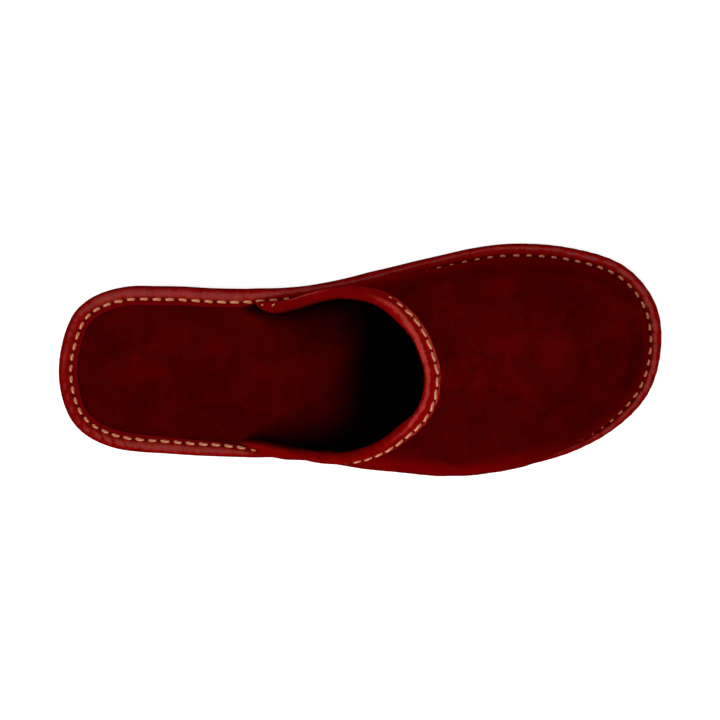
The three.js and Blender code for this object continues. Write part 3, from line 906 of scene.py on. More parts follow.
def hollow_depth(places):
    depth = np.zeros(len(places))
    for x, y, degrees, length, width, deep in HOLLOWS.values():
        turn = math.radians(degrees)
        dx = places[:, 0] - HEEL_X - x * MM
        dy = places[:, 1] - y * MM
        along = dx * math.cos(turn) + dy * math.sin(turn)
        across = -dx * math.sin(turn) + dy * math.cos(turn)
        depth += deep * MM * (bell(along, length * MM) * bell(across, width * MM))
    return depth


print(len(HOLLOWS), "hollows and ridges")

# %% [markdown]
# To gather the felt along the sole seam, every point needs to know its nearest station on the sole
# edge. A search tree over the stations finds it.

# %% Press the felt
# lumps are sets of hills: mm apart, mm high, and a shift that makes each set its own
FELT_LUMPS = [(24, 0.35, 0), (6, 0.09, 3)]
GATHER = 0.2 * MM
FOOT_BULGE = 0.6 * MM
# height over the strip's top of the gathers and of the bulge, each with its spread
GATHER_AT, GATHER_SPREAD = 1.0 * MM, 3.2 * MM
BULGE_AT, BULGE_SPREAD = 2.2 * MM, 2.4 * MM
# height over the strip's top from which the felt is free of the seam
FELT_FREE = (0.2 * MM, 3.5 * MM)
# a line inside the shoe, from which outwards is told: its end from the heel and its height
SPINE_END = 215 * MM
SPINE_HIGH = 12 * MM
edge_tree = KDTree(len(edge_xy))
for station, place in enumerate(edge_xy):
    edge_tree.insert((*place, 0), station)
edge_tree.balance()


def nearest_stations(places):
    return np.array([edge_tree.find((place[0], place[1], 0))[1] for place in places])


# painted shade where the felt slopes away and painted light on its steep outer side, which fades
# out between these places from the heel, in mm; a tone's ranges are of the tilt, 0 lying flat
# and 1 upright, and of how far the felt faces the toe or a side
SIDE_LIGHT_ENDS = (228, 195)


def painted_slope_tones(normals, from_heel):
    """How much painted shade and how much painted light the felt gets by its slope, from 0 to 1."""
    tilt = 1 - normals[:, 2]
    to_toe, to_side = normals[:, 0], normals[:, 1]
    toe = mix(0.34, 0.6, smooth(0.12, 0.25, tilt)) * smooth(0, 0.3, to_toe)
    toe *= mix(0.35, 1, smooth(0.25, -0.05, to_side))
    little_toe = 0.45 * smooth(0, -0.35, to_side) * smooth(0.62, 0.4, tilt)
    big_toe = 0.12 * smooth(0, 0.3, to_side)
    big_toe += 0.6 * smooth(0.3, 0.55, to_side) * smooth(0.25, 0.5, tilt)
    painted_slope_shade = smooth(0.008, 0.045, tilt) * np.max([toe, little_toe, big_toe], axis=0)
    painted_side_light = smooth(0.28, 0.5, tilt) * mix(1, 0.2, smooth(0.55, 0.85, tilt))
    painted_side_light *= smooth(-0.3, -0.6, to_side) * smooth(*SIDE_LIGHT_ENDS, from_heel)
    return painted_slope_shade, painted_side_light


def press_felt(piece):
    places = vertex_places(piece)
    normals = numbers_of(piece.data.vertex_normals, "vector", 3).reshape(-1, 3).astype(float)
    station = nearest_stations(places)
    above = places[:, 2] - bed_z[station] - LEATHER
    spine = np.column_stack([
        np.minimum(places[:, 0], HEEL_X + SPINE_END),
        np.zeros(len(places)),
        np.full(len(places), SPINE_HIGH),
    ])
    outside = np.sign(np.einsum("ij,ij->i", normals, places - spine))
    gather = GATHER * between_stitches(sole_seam)[station]
    gather *= (0.35 + 0.65 * toe_curve[station]) * bell(above - GATHER_AT, GATHER_SPREAD)
    free = smooth(*FELT_FREE, above)
    overhang = FOOT_BULGE * bell(above - BULGE_AT, BULGE_SPREAD) * (outside > 0) * (above > 0)
    out = gather * (above > 0) + overhang - hollow_depth(places) * free
    out += unevenness(places, *FELT_LUMPS) * free
    places += normals * (outside * out)[:, None]
    set_vertex_places(piece, places)
    # painted shade where the felt slopes away and painted light on its steep outer side
    painted_slope_shade, painted_side_light = painted_slope_tones(normals, mm_from_heel(places[:, 0]))
    outer = outside > 0
    # the inner face is marked to be painted near black as shade inside the shoe
    set_marks(piece, {"lined": ~outer, "painted_slope_shade": painted_slope_shade * outer, "painted_side_light": painted_side_light * outer})


press_felt(felt)
print("felt: pressed by up to", round(hollow_depth(vertex_places(felt)).max() / MM, 2), "mm")

# %% [markdown]
# The wings end where the felt dives under the binding's inner rim. The end on the big-toe side is
# a short round lobe that leans in: the felt and the tape are both drawn down to a point under the
# rim, by one function of place, so that they move together.

# %% Tuck in the end on the big-toe side
LOBE_NOSE = 9.6
LOBE_UNDER_RIM = 1.0 * MM
TUCKED_HEIGHT = 0.3 * MM
LOBE_REACH = 30 * MM
NOSE_PAST_END = 1.2
NOSE_PULLED = 1.0 * MM
POINT_SIZE = 0.0006
POINT_ROUND = 0.8
LOBE_END = collar[-1]


def tuck(places):
    """Places of the upper or its tape with the big-toe side's end drawn in under the strip."""
    flat = places.reshape(-1, 3).copy()
    station = nearest_stations(flat)
    plan = edge_xy[station] - edge_out[station] * (rim_inset[station] - LOBE_UNDER_RIM)[:, None]
    anchor = np.column_stack([flat[:, 0], plan[:, 1], bed_z[station] + TUCKED_HEIGHT])
    near = (flat[:, 1] > 0) & (flat[:, 0] < LOBE_END[0] + LOBE_REACH)
    share = np.clip(((flat[:, 0] - LOBE_END[0]) / MM + NOSE_PAST_END) / LOBE_NOSE, 0, 1)
    size = np.clip(1 - (1 - share) ** 2, POINT_SIZE, 1) ** POINT_ROUND
    moved = anchor + (flat - anchor) * size[:, None]
    moved[:, 0] -= NOSE_PULLED * (1 - share) ** 2
    return np.where(near[:, None], moved, flat).reshape(places.shape)


print("the lobe ends", round(mm_from_heel(LOBE_END[0]), 1), "mm from the heel")

# %% [markdown]
# The top of the throat stands highest, and there the collar leans a little aside and forwards, as
# a worn slipper's does. The move grows with the height over the bed, so the sides stay in place.

# %% Lean the collar over
LEAN_HIGH = (14 * MM, 30 * MM)
LEAN_ALONG = (118, 142)
LEAN_ASIDE = 0.8 * MM
LEAN_AHEAD = 0.7 * MM
AHEAD_FROM_Y = (-32 * MM, -14 * MM)


def lean(places):
    """Places of the upper or its tape, whose top leans a little to the big-toe side and forwards."""
    flat = places.reshape(-1, 3).copy()
    station = nearest_stations(flat)
    high = smooth(*LEAN_HIGH, flat[:, 2] - bed_z[station])
    amount = high * smooth(*LEAN_ALONG, mm_from_heel(flat[:, 0]))
    flat[:, 0] += LEAN_AHEAD * amount * smooth(*AHEAD_FROM_Y, flat[:, 1])
    flat[:, 1] += LEAN_ASIDE * amount
    return flat.reshape(places.shape)


print("the collar leans", round(LEAN_ASIDE / MM, 1), "mm aside and", round(LEAN_AHEAD / MM, 1), "mm ahead")

# %% [markdown]
# The outer end is a long low tail. It comes out from under the rim, widens, and further forward
# climbs over the binding as far as the sole's edge. It is drawn from four lines, given like a
# table of offsets: its outer and inner border and its crest, at places along the side. Between
# them the tail is a dome, and the felt is kept inside that dome.

# %% Draw the tail on the outer side
# mm from the heel; insets of the outer border, crest and inner border; height of the crest
TAIL = np.array([
    (80.0, 5.6, 6.1, 6.6, 0.2),
    (81.5, 5.0, 6.1, 7.3, 1.2),
    (84.0, 3.6, 5.8, 7.6, 2.1),
    (87.0, 2.3, 5.5, 7.6, 2.8),
    (90.0, 1.1, 5.2, 7.5, 3.5),
    (93.0, 0.3, 4.9, 7.2, 4.3),
    (98.0, -0.3, 4.2, 6.4, 5.6),
    (104.0, -0.8, 3.4, 5.5, 7.2),
    (112.0, -1.4, 2.6, 4.6, 9.6),
])
TAIL_FREE = (99, 112)
TAIL_ON_STRIP = (86, 91)
TAIL_WALL = 1.25 * MM
# height of the outer foot, beside the strip and on it, and of the inner foot
TAIL_FOOT = (0.4, 1.9)
TAIL_INNER_FOOT = -0.8 * MM
# how square the dome's outer shoulder is, beside the strip and on it
TAIL_SHOULDER = (1.7, 1.1)


def tail_lines(from_heel):
    """Outer border, crest and inner border as insets, and the crest's height, in metres."""
    return [np.interp(from_heel, TAIL[:, 0], TAIL[:, k]) * MM for k in (1, 2, 3, 4)]


def tail_place(from_heel, turn):
    """Inset and height over the bed on the tail's dome; turn is -1 outside, 0 on top, 1 inside."""
    outer, crest, inner, top = tail_lines(from_heel)
    on_strip = smooth(*TAIL_ON_STRIP, from_heel)
    foot = mix(*TAIL_FOOT, on_strip) * MM
    quarter = np.abs(turn) * math.pi / 2
    reach, rise = np.sin(quarter), np.cos(quarter)
    outside = turn < 0
    inset = mix(crest, np.where(outside, outer, inner), reach)
    low = np.where(outside, foot, TAIL_INNER_FOOT)
    rise = np.where(outside, rise ** mix(*TAIL_SHOULDER, on_strip), rise)
    return inset, low + (top - low) * rise


def keep_under_tail(places):
    """The upper's places near the outer end, moved inside the dome of the tail."""
    station = nearest_stations(places)
    inset = np.linalg.norm(places[:, :2] - edge_xy[station], axis=1)
    from_heel = mm_from_heel(places[:, 0])
    outer, crest, inner, top = tail_lines(from_heel)
    kept = np.clip(inset, outer + TAIL_WALL, inner - TAIL_WALL)
    reach = np.where(kept < crest, (crest - kept) / (crest - outer), (kept - crest) / (inner - crest))
    turn = np.arcsin(np.clip(reach, 0, 1)) * 2 / math.pi
    _, height = tail_place(from_heel, np.where(kept < crest, -turn, turn))
    low = np.minimum(places[:, 2], bed_z[station] + height - TAIL_WALL)
    amount = smooth(TAIL_FREE[1], TAIL_FREE[0], from_heel) * (places[:, 1] < 0)
    plan = edge_xy[station] - edge_out[station] * kept[:, None]
    inside = np.column_stack([places[:, 0], plan[:, 1], low])
    return mix(places, inside, amount[:, None])


felt_before_tuck = vertex_places(felt)
set_vertex_places(felt, keep_under_tail(lean(tuck(felt_before_tuck))))
smooth_faces(felt, SHEET_CORNER)
moved = np.linalg.norm(vertex_places(felt) - felt_before_tuck, axis=1)
print("felt: tucked, leant and kept under the tail, moved by up to", round(moved.max() / MM, 1), "mm")
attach(felt, "root")
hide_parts("upper")

# %% [markdown]
# ## The collar tape
# A second strip, thinner and softer, is folded over the cut edge of the felt and sewn through it.
# To lie right it must follow the felt itself: from every station of the collar edge a path goes
# down the felt in small steps, and after each step it is put back on the surface. The path ends
# where the felt meets the sole binding.

# %% Paths down the felt
PATH_STEP = 0.5 * MM
PATH_STEPS = 14
TAPE = 4.9 * MM
# on the outer side the tape is narrower: mm from the heel, mm
TAPE_OUTER_SIDE = [(108, 4.9), (122, 4.1), (140, 4.1), (158, 4.9)]
ABOVE_STRIP = 1.2 * MM
OFF_FELT = 0.2
NARROWEST = 1.2 * MM
PATH_BLUR, ROOM_BLUR = 6, 8

felt_tree = tree_of(felt, felt_before_tuck)


def unit(vectors):
    return vectors / np.linalg.norm(vectors, axis=-1, keepdims=True)


def paths_down_felt():
    """Places down the felt's outer face below each collar station, and the usable length."""
    out_of_felt = unit(collar_rows[:, 3:6])
    along = unit(np.gradient(collar, axis=0))
    down = unit(np.cross(along, out_of_felt))
    paths = np.empty((len(collar), PATH_STEPS + 1, 3))
    usable = np.zeros(len(collar))
    for i, start in enumerate(collar):
        here, heading = Vector(start), Vector(down[i])
        paths[i, 0] = start
        for k in range(1, PATH_STEPS + 1):
            guess = here + heading * PATH_STEP + Vector(out_of_felt[i]) * OFF_FELT * MM
            spot = felt_tree.find_nearest(guess)[0]
            heading = (spot - here).normalized()
            here = spot
            paths[i, k] = here
            station = edge_tree.find((here.x, here.y, 0))[1]
            if here.z > bed_z[station] + LEATHER + ABOVE_STRIP and usable[i] == (k - 1) * PATH_STEP:
                usable[i] = k * PATH_STEP
    return blur(paths, PATH_BLUR, closed=False), blur(usable, ROOM_BLUR, closed=False)


tape_paths, tape_room = paths_down_felt()
tape_wide = np.where(on_medial, TAPE, look_up(collar_x, TAPE_OUTER_SIDE) * MM)
tape_leg = np.clip(tape_room, NARROWEST, tape_wide)
print("tape leg from end to end:", np.round(tape_leg[::75] / MM, 1), "mm")

# %% [markdown]
# The tape's section is again a short list. The first rows lie on the outside of the felt, from the
# tape's edge up to the collar, the middle ones go round the fold, and the last lie inside. A low
# groove runs between the seam and the fold, which stands up as a round bead.

# %% Rows of the tape
# share of the leg's length down from the collar, and height over the felt where the seam shows
# and where the tape lies as one smooth roll, in mm
TAPE_OUTSIDE = [
    ("edge_foot", 1.00, 0.05, 0.05),
    ("edge", 1.00, 0.62, 0.50),
    ("edge_top", 0.94, 1.06, 0.80),
    ("edge_band", 0.83, 1.24, 0.95),
    ("seam_side", 0.72, 1.08, 1.00),
    ("seam", 0.62, 0.84, 1.08),
    ("seam_rise", 0.52, 1.06, 1.15),
    ("back", 0.42, 1.14, 1.20),
    ("back_fall", 0.32, 1.00, 1.24),
    ("groove", 0.22, 0.88, 1.26),
    ("bead_start", 0.11, 1.12, 1.26),
]
FOLD_RADIUS = 2.4
FOLD_REACH = 1.7
FOLD_TURNS = [12, 40, 68, 96, 124, 152, 174]
TAPE_INSIDE = [
    ("inner_top", 0.25, 1.45),
    ("inner_back", 0.60, 1.35),
    ("inner_edge", 0.97, 1.20),
    ("inner_foot", 1.00, 0.20),
]
TAPE_ROWS = names_of(TAPE_OUTSIDE) + [f"fold_{turn}" for turn in FOLD_TURNS] + names_of(TAPE_INSIDE)
SEAM_ROW = 2 * TAPE_ROWS.index("seam")
TOP_ROW = 2 * len(TAPE_OUTSIDE) + len(FOLD_TURNS)
LOOK_ALONG = 0.12
FRAME_BLUR = 9


def on_paths(share):
    """Places on the paths at a share of each station's leg."""
    steps = np.clip(tape_leg * share / PATH_STEP, 0, PATH_STEPS - 1e-6)
    low = steps.astype(int)
    t = (steps - low)[:, None]
    rows = np.arange(len(collar))
    return tape_paths[rows, low] * (1 - t) + tape_paths[rows, low + 1] * t


def tape_frame(share):
    """Place, down and outward directions at a share of the leg, smoothed along the collar."""
    here = on_paths(share)
    down = unit(on_paths(share + LOOK_ALONG) - on_paths(max(share - LOOK_ALONG, 0)))
    down = unit(blur(down, FRAME_BLUR, closed=False))
    along = unit(blur(np.gradient(here, axis=0), FRAME_BLUR, closed=False))
    out = unit(np.cross(down, along))
    return here, down, out


print("tape rows:", TAPE_ROWS)

# %% Where the tape's seam shows
# between these places on each side, in mm from the heel; behind them the tape is one smooth roll
SEAM_SHOWS = {"medial": (137, 152), "lateral": (123, 130)}
LOBE_SHOWS = (99, 95)
LOBE_STITCHES = 0.45
# distance from the lobe's very end, which has no stitch
NOSE_BARE = (2 * MM, 4 * MM)
on_lobe = smooth(*LOBE_SHOWS, collar_x) * on_medial


def past(ranges):
    """At every collar station, 0 behind the range of its own side and 1 in front of it."""
    return np.where(on_medial, *[smooth(*ranges[side], collar_x) for side in SIDES])


in_front = past(SEAM_SHOWS)
rolled = 1 - in_front
collar_shown = np.maximum(in_front, LOBE_STITCHES * on_lobe)
collar_shown *= smooth(*NOSE_BARE, collar_way[-1] - collar_way)
print("stations with a seam:", (in_front > 0.5).sum(), "of", len(collar))

# %% Places of the tape
def tape_places():
    rows = []
    for _, share, sewn_lift, rolled_lift in TAPE_OUTSIDE:
        here, _, out = tape_frame(share)
        rows.append(here + out * mix(sewn_lift, rolled_lift, rolled)[:, None] * MM)
    here, down, out = tape_frame(0)
    centre = here - out * FELT / 2
    for turn in FOLD_TURNS:
        angle = math.radians(turn)
        aside, ahead = FOLD_RADIUS * MM * math.cos(angle), FOLD_REACH * MM * math.sin(angle)
        rows.append(centre + out * aside - down * ahead)
    for _, share, lift in TAPE_INSIDE:
        here, _, out = tape_frame(share)
        rows.append(here - out * (FELT + lift * MM))
    return finer(np.stack(rows, axis=1))


def lay_tail(places):
    """The tape's grid with the stations near the outer end laid on the tail's dome."""
    first, last = collar_x[0], TAIL_FREE[1]
    stretched = TAIL[0, 0] + (collar_x - first) * (last - TAIL[0, 0]) / (last - first)
    from_heel = np.where(on_medial | (collar_x > last), collar_x, stretched)
    rows = np.arange(places.shape[1])
    turn = np.where(rows < TOP_ROW, rows / TOP_ROW - 1, (rows - TOP_ROW) / (rows[-1] - TOP_ROW))
    inset, height = tail_place(from_heel[:, None], turn[None, :])
    x = HEEL_X + from_heel * MM
    lateral = np.flatnonzero(edge_xy[:, 1] < 0)
    station = lateral[np.abs(edge_xy[lateral, 0] - x[:, None]).argmin(axis=1)]
    plan = edge_xy[station, None, :] - edge_out[station, None, :] * inset[..., None]
    dome = np.concatenate([plan, (bed_z[station, None] + height)[..., None]], axis=2)
    dome[..., 0] = x[:, None]
    amount = smooth(TAIL_FREE[1], TAIL_FREE[0], from_heel) * ~on_medial
    return mix(places, dome, amount[:, None, None])


tape_grid = lay_tail(tape_places())
print("tape:", tape_grid.shape[0], "stations by", tape_grid.shape[1], "rows")

# %% [markdown]
# The tape puckers along its seam as the strip does, but less. On the smooth roll behind the seam
# it has only faint ribs across. On the lobe the seam comes up to the top of the roll.

# %% Seam of the tape
TAPE_PITCH = 5.5 * MM
# on the lobe the seam runs this many rows nearer the fold
LOBE_ROWS = 15
seam_row = SEAM_ROW + LOBE_ROWS * on_lobe


def along_row(values, rows):
    """Values of a grid along a line that wanders between its rows, one fractional row a station."""
    low = np.clip(rows.astype(int), 0, values.shape[1] - 2)
    stations = np.arange(len(values))
    t = (rows - low).reshape((-1,) + (1,) * (values.ndim - 2))
    return mix(values[stations, low], values[stations, low + 1], t)


collar_seam = seam(along_row(tape_grid, seam_row), TAPE_PITCH, thread_share=0.84)
print("collar seam:", collar_seam["count"], "steps, pitch", round(collar_seam["pitch"].mean() / MM, 2), "mm")

# %% Pucker the tape
TAPE_LUMPS = [(8, 0.15, 5), (2.4, 0.05, 9)]
# depths and heights at the seam, in mm; the band lies towards the tape's edge, the back towards the fold
TAPE_HOLE_SINKS, TAPE_THREAD_SINKS, TAPE_PLEAT_SINKS = 0.26, 0.10, 0.12
BAND_PUFFS, BACK_PUFFS = 0.12, 0.07
TAPE_PLEAT_REACH = (2.6, 0.4)
# rows past the seam between which its pull dies out
PULL_ENDS = (16, 8)
# faint ribs across the roll: mm apart, mm high, and mm along which they come and go
RIB_PITCH, RIB_RISES, RIB_PATCH = 2.3, 0.09, 4.6


def grid_normals(places, closed):
    """Outward direction at each place of a grid, from its neighbours."""
    if closed:
        along = np.roll(places, -1, axis=0) - np.roll(places, 1, axis=0)
    else:
        along = np.gradient(places, axis=0)
    return unit(np.cross(along, np.gradient(places, axis=1)) + 1e-12)


def ribs(rows):
    """Faint ribs at every collar station, strongest on the top row."""
    way = collar_way / MM
    drift = 5 * np.sin(way / 9) + 4 * np.sin(way / 3.7)
    rib = np.cos(2 * math.pi * way / RIB_PITCH + drift) * chance((way // RIB_PATCH).astype(int), "ribs")
    return RIB_RISES * rib[:, None] * bell(rows - TOP_ROW, 6.0)[None, :]


def pucker_tape(places):
    """The tape's places, moved up and down at its seam, and where the seam pinches it."""
    rows = np.arange(places.shape[1])
    lengths = np.linalg.norm(np.diff(places, axis=1), axis=2)
    way_up = np.concatenate([np.zeros((len(places), 1)), np.cumsum(lengths, axis=1)], axis=1)
    above = (way_up - along_row(way_up[..., None], seam_row)) / MM
    holes = from_holes(collar_seam)[:, None] / MM
    each = chance(hole_number(collar_seam), "tape pleats")[:, None]
    between = between_stitches(collar_seam)[:, None]
    lift = -TAPE_HOLE_SINKS * bell(holes, 0.6) * bell(above, 0.6) - TAPE_THREAD_SINKS * bell(above, 0.7)
    lift += BAND_PUFFS * between * bell(above + 1.1, 0.9) * (0.5 + each)
    lift += BACK_PUFFS * between * bell(above - 1.3, 1.0)
    lift -= TAPE_PLEAT_SINKS * bell(holes, 0.5) * smooth(*TAPE_PLEAT_REACH, above) * (above > 0) * each
    pinch = bell(holes, 0.6) * (bell(above, 0.8) + 0.6 * each * bell(above - 1.6, 1.1))
    first_calm, last_full = PULL_ENDS
    sewn_here = smooth(SEAM_ROW + first_calm, SEAM_ROW + last_full, rows)
    sewn_here = sewn_here * smooth(*SEWN_FROM, collar_shown)[:, None]
    lift = (lift * sewn_here + ribs(rows)) * MM
    lift += unevenness(places.reshape(-1, 3), *TAPE_LUMPS).reshape(lift.shape)
    return places + grid_normals(places, closed=False) * lift[..., None], np.clip(pinch * sewn_here, 0, 1)


tape_grid, tape_pinch = pucker_tape(lean(tuck(tape_grid)))
print("share of the tape that is pinched:", round((tape_pinch > 0.3).mean(), 3))

# %% [markdown]
# The tape is rubbed most along the fold at the throat, where the foot slides in; its paler colour
# there is partly wear and partly a painted highlight. Along its bend towards the lobe a paler
# streak is a painted highlight.

# %% Where the tape is rubbed
# how proud each row of the tape stands, from 0 to 1
TAPE_PROUD = {
    "edge_foot": 0.0,
    "edge_band": 0.7,
    "seam": 0.2,
    "back": 0.3,
    "groove": 0.0,
    "bead_start": 0.3,
    "fold_12": 0.75,
    "fold_40": 1.0,
    "fold_68": 0.6,
    "fold_96": 0.2,
    "inner_foot": 0.0,
}
HANDLED_FROM = {"medial": (128, 154), "lateral": (134, 160)}
LATERAL_HANDLED = 0.7
# the painted highlight along the bend towards the lobe: mm from the heel, and half its width in rows
BEND_BEGINS, BEND_ENDS, BEND_ROWS = (99, 104), (124, 117), 3.5
row_numbers = np.arange(tape_grid.shape[1])
proud_rows = [2 * TAPE_ROWS.index(name) for name in TAPE_PROUD]
tape_proud = np.interp(row_numbers, proud_rows, list(TAPE_PROUD.values()))
tape_handled = np.where(on_medial, 1, LATERAL_HANDLED) * past(HANDLED_FROM)
bent = smooth(*BEND_BEGINS, collar_x) * smooth(*BEND_ENDS, collar_x) * on_medial
bend_highlight = bent[:, None] * bell(row_numbers - 2 * TAPE_ROWS.index("fold_12"), BEND_ROWS)[None, :]
tape_handled = tape_handled[:, None] + 0.5 * bend_highlight
tape_exposed = exposure(np.maximum(tape_proud[None, :], 0.8 * bend_highlight), tape_handled)
print("share of the tape that is rubbed:", round((tape_exposed > 0.5).mean(), 3))

# %% Lay the tape
tape_marks = {"pinch": tape_pinch, "handled": tape_handled, "exposed": tape_exposed}
collar_tape = thick_sheet("collar_tape", tape_grid, closed=False, thickness=LEATHER, **tape_marks)
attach(collar_tape, "root")
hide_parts("collar_binding")

# %% [markdown]
# ## Stitches
# Each stitch is one short length of waxed thread, round in section, that comes up through one
# needle hole, lies on the leather and goes down through the next. One stitch is modelled from a
# small sphere, drawn out along the seam with its ends bent down. It is then copied to every step
# of a seam, set a little askew, and the copies are joined into one piece.

# %% One stitch
STITCH_FACETS = 8
END_DIP = 0.75 * MM
FLATTENED = 0.85


def one_stitch(length, radius):
    """A stitch along x, nearly even in thickness, with both ends bent down."""
    bpy.ops.object.select_all(action="DESELECT")
    bpy.ops.mesh.primitive_uv_sphere_add(segments=STITCH_FACETS, ring_count=STITCH_FACETS, radius=1)
    stitch = bpy.context.object
    ball = vertex_places(stitch)
    lengthwise = np.clip(ball[:, 2], -1, 1)
    turn = np.arctan2(ball[:, 1], ball[:, 0])
    place = np.sin(lengthwise * math.pi / 2)
    thick = radius * (1 - np.abs(lengthwise) ** 5) ** 0.5
    shaped = np.column_stack([
        place * length / 2,
        thick * np.cos(turn),
        thick * np.sin(turn) * FLATTENED - END_DIP * np.abs(place) ** 4,
    ])
    set_vertex_places(stitch, shaped)
    return stitch


# %% Stitches along a seam
HARDLY_SHOWN = 0.15
STITCH_SIZES = (0.92, 1.06)
TURNED_BY = math.radians(5)
# height of a stitch's middle over the leather in radii, when nearly hidden and when it lies free
STITCH_SUNK, STITCH_FREE = -0.2, 0.45
STATIONS_ROUND = 4
NORMALS_BLUR = 6


def sewn(name, places, one_seam, rows, shown, radius, askew, closed):
    """Stitches along a line of a laid grid, one fractional row a station, as one piece."""
    usual_pitch = one_seam["pitch"].mean()
    model = one_stitch(one_seam["thread"] * usual_pitch, radius)
    line = along_row(places, rows)
    normals = blur(along_row(grid_normals(places, closed), rows), NORMALS_BLUR, closed=False)
    steps = one_seam["steps"]
    turns = chance(np.arange(one_seam["count"]), "stitch turns")
    sizes = chance(np.arange(one_seam["count"]), "stitch sizes")
    copies = []
    for number in range(one_seam["count"]):
        station = np.interp(number + 0.5, steps, np.arange(len(steps)))
        low = min(int(station), len(line) - 2)
        size = shown[low] * mix(*STITCH_SIZES, sizes[number])
        if shown[low] < HARDLY_SHOWN:
            continue
        here = mix(line[low], line[low + 1], station - low)
        before = max(low - STATIONS_ROUND, 0)
        after = min(low + STATIONS_ROUND + 1, len(line) - 1)
        along = Vector(line[after] - line[before]).normalized()
        out = Vector(normals[low])
        side = out.cross(along).normalized()
        slant = askew + TURNED_BY * (turns[number] - 0.5) * 2
        heading = (along * math.cos(slant) + side * math.sin(slant)).normalized()
        out = heading.cross(out.cross(heading)).normalized()
        side = out.cross(heading)
        turned = Matrix((heading, side, out)).transposed().to_4x4()
        length = size * one_seam["pitch"][low] / usual_pitch
        middle = Vector(here) + out * radius * mix(STITCH_SUNK, STITCH_FREE, min(shown[low], 1))
        shrunk = Matrix.Diagonal((length, math.sqrt(size), math.sqrt(size), 1))
        copy = model.copy()
        copy.data = model.data.copy()
        copy.data.transform(Matrix.Translation(middle) @ turned @ shrunk)
        bpy.context.collection.objects.link(copy)
        copies.append(copy)
    bpy.data.objects.remove(model)
    print(name, "shows", len(copies), "stitches on", one_seam["count"], "steps")
    piece = join_all(copies)
    piece.name = name
    piece.data.name = name
    in_edit_mode(piece, (bpy.ops.mesh.normals_make_consistent, {"inside": False}))
    smooth_faces(piece, 80)
    count_triangles(piece)
    return piece


# %% Sew both seams
strip_seam_row = np.full(len(strip_places), 2.0 * names_of(TOP_SECTION).index("seam"))
sole_stitches = sewn(
    "sole_stitches", strip_places, sole_seam, strip_seam_row, sole_shown,
    radius=0.66 * MM, askew=math.radians(-3), closed=True,
)
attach(sole_stitches, "root")
collar_stitches = sewn(
    "collar_stitches", tape_grid, collar_seam, seam_row, collar_shown,
    radius=0.63 * MM, askew=math.radians(6), closed=False,
)
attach(collar_stitches, "root")

# %% [markdown]
# ## The footbed cover
# Under the foot lies a pad of the same felt. Behind the wings it runs under the binding, and in
# front of them it ends at the inner face of the felt wall. It is a little plump: it rises from
# the binding's rim, dips under the heel and the ball of the foot, and shows faint hollows where
# the felt has been pressed. It is laid as rungs from the outer to the inner side of the sole.

# %% Lay the footbed cover
COVER_RUNGS = 240
COVER_ACROSS = 96
COVER_THICK = 2.2 * MM
UNDER_BINDING = 2.0 * MM
INTO_WALL = 0.8 * MM
COVER_BELOW_BED = 0.3 * MM
# how much closer the rungs and their places stand at the ends, 0 being even
RUNGS_CROWDED = 0.6
PLACES_CROWDED = 0.12
# distance behind the end of the wall within which the cover goes over to the binding
LEAVES_WALL = (0.2 * MM, 2.5 * MM)
# on the outer side the cover reaches under the tail: distance from the heel
TAIL_COVERED = (118 * MM, 110 * MM)
cover_inset = mix(wall_inset + FELT - INTO_WALL, UNDER_BINDING, smooth(*LEAVES_WALL, behind_wall))
under_tail = per_side(0, smooth(*TAIL_COVERED, station_x - HEEL_X))
cover_inset = np.minimum(cover_inset, mix(cover_inset, UNDER_BINDING, under_tail))
cover_edge = inset_line(cover_inset, bed_z - COVER_BELOW_BED)


def side_line(line, count):
    """A line's places at even steps from heel to toe, closer at both ends."""
    even = np.linspace(0, 1, count)
    crowded = even - RUNGS_CROWDED * np.sin(2 * math.pi * even) / (2 * math.pi)
    way = way_along(line)
    wanted = crowded * way[-1]
    return np.column_stack([np.interp(wanted, way, column) for column in line.T])


medial_line = side_line(cover_edge[: TOE + 1], COVER_RUNGS)
lateral_line = side_line(cover_edge[TOE:][::-1], COVER_RUNGS)
share = np.linspace(0, 1, COVER_ACROSS)
share = 0.5 - 0.5 * np.cos(math.pi * share) * (1 - PLACES_CROWDED * np.sin(math.pi * share))
cover = mix(lateral_line[:, None, :], medial_line[:, None, :], share[None, :, None])
print("cover:", cover.shape[0], "rungs of", cover.shape[1], "places, rungs up to",
      round(np.linalg.norm(cover[:, -1] - cover[:, 0], axis=1).max() / MM, 1), "mm long")

# %% Plump the cover and press it
# painted shade darkens the cover towards the walls and the front; share of its own colour left, by
# distance in mm from the wall and from the heel
LEFT_BY_WALL = [(0, 0.06), (3, 0.17), (6, 0.29), (10, 0.45), (15, 0.7), (20, 0.88), (27, 0.98), (34, 1)]
LEFT_BY_FRONT = [
    (112, 1), (119, 0.93), (122, 0.76), (125, 0.48),
    (127, 0.36), (130, 0.18), (133, 0.05), (137, 0),
]
# how the shade's border wanders, as one set of hills, and how much it slants from side to side
SHADE_FRAYS = (6, 1.6, 1)
SHADE_SLANT = 0.09
COVER_LUMPS = [(17, 0.25, 2), (5, 0.07, 4)]
# mm from the heel between which the shade comes in; then where it starts to widen by the walls and
# over what length it does, in mm, and the share that it starts at
SHADE_BEGINS = (77, 86)
SHADE_STARTS, SHADE_GROWS, SHADE_LEAST = 81, 28, 0.03
# the cover sinks by this much where its painted shade is nearly full, over this range of the shade
DROP_IN_SHADE = 0.6 * MM
DROP_SHADE_RANGE = (0.9, 1.0)
# the cover rises by this much between two distances from the binding's rim
PLUMP = 0.7 * MM
PLUMP_FROM, PLUMP_TO = 0.6 * MM, 6 * MM
# hollows left by the foot: mm from the heel and from the middle line, then length, width and
# depth in mm, the depth below zero for a rise
PRINTS = {
    "heel_print": (36, -3, 26, 19, 1.5),
    "ball_print": (178, 4, 30, 30, 0.9),
    "arch_rise": (108, 18, 26, 12, -0.7),
}


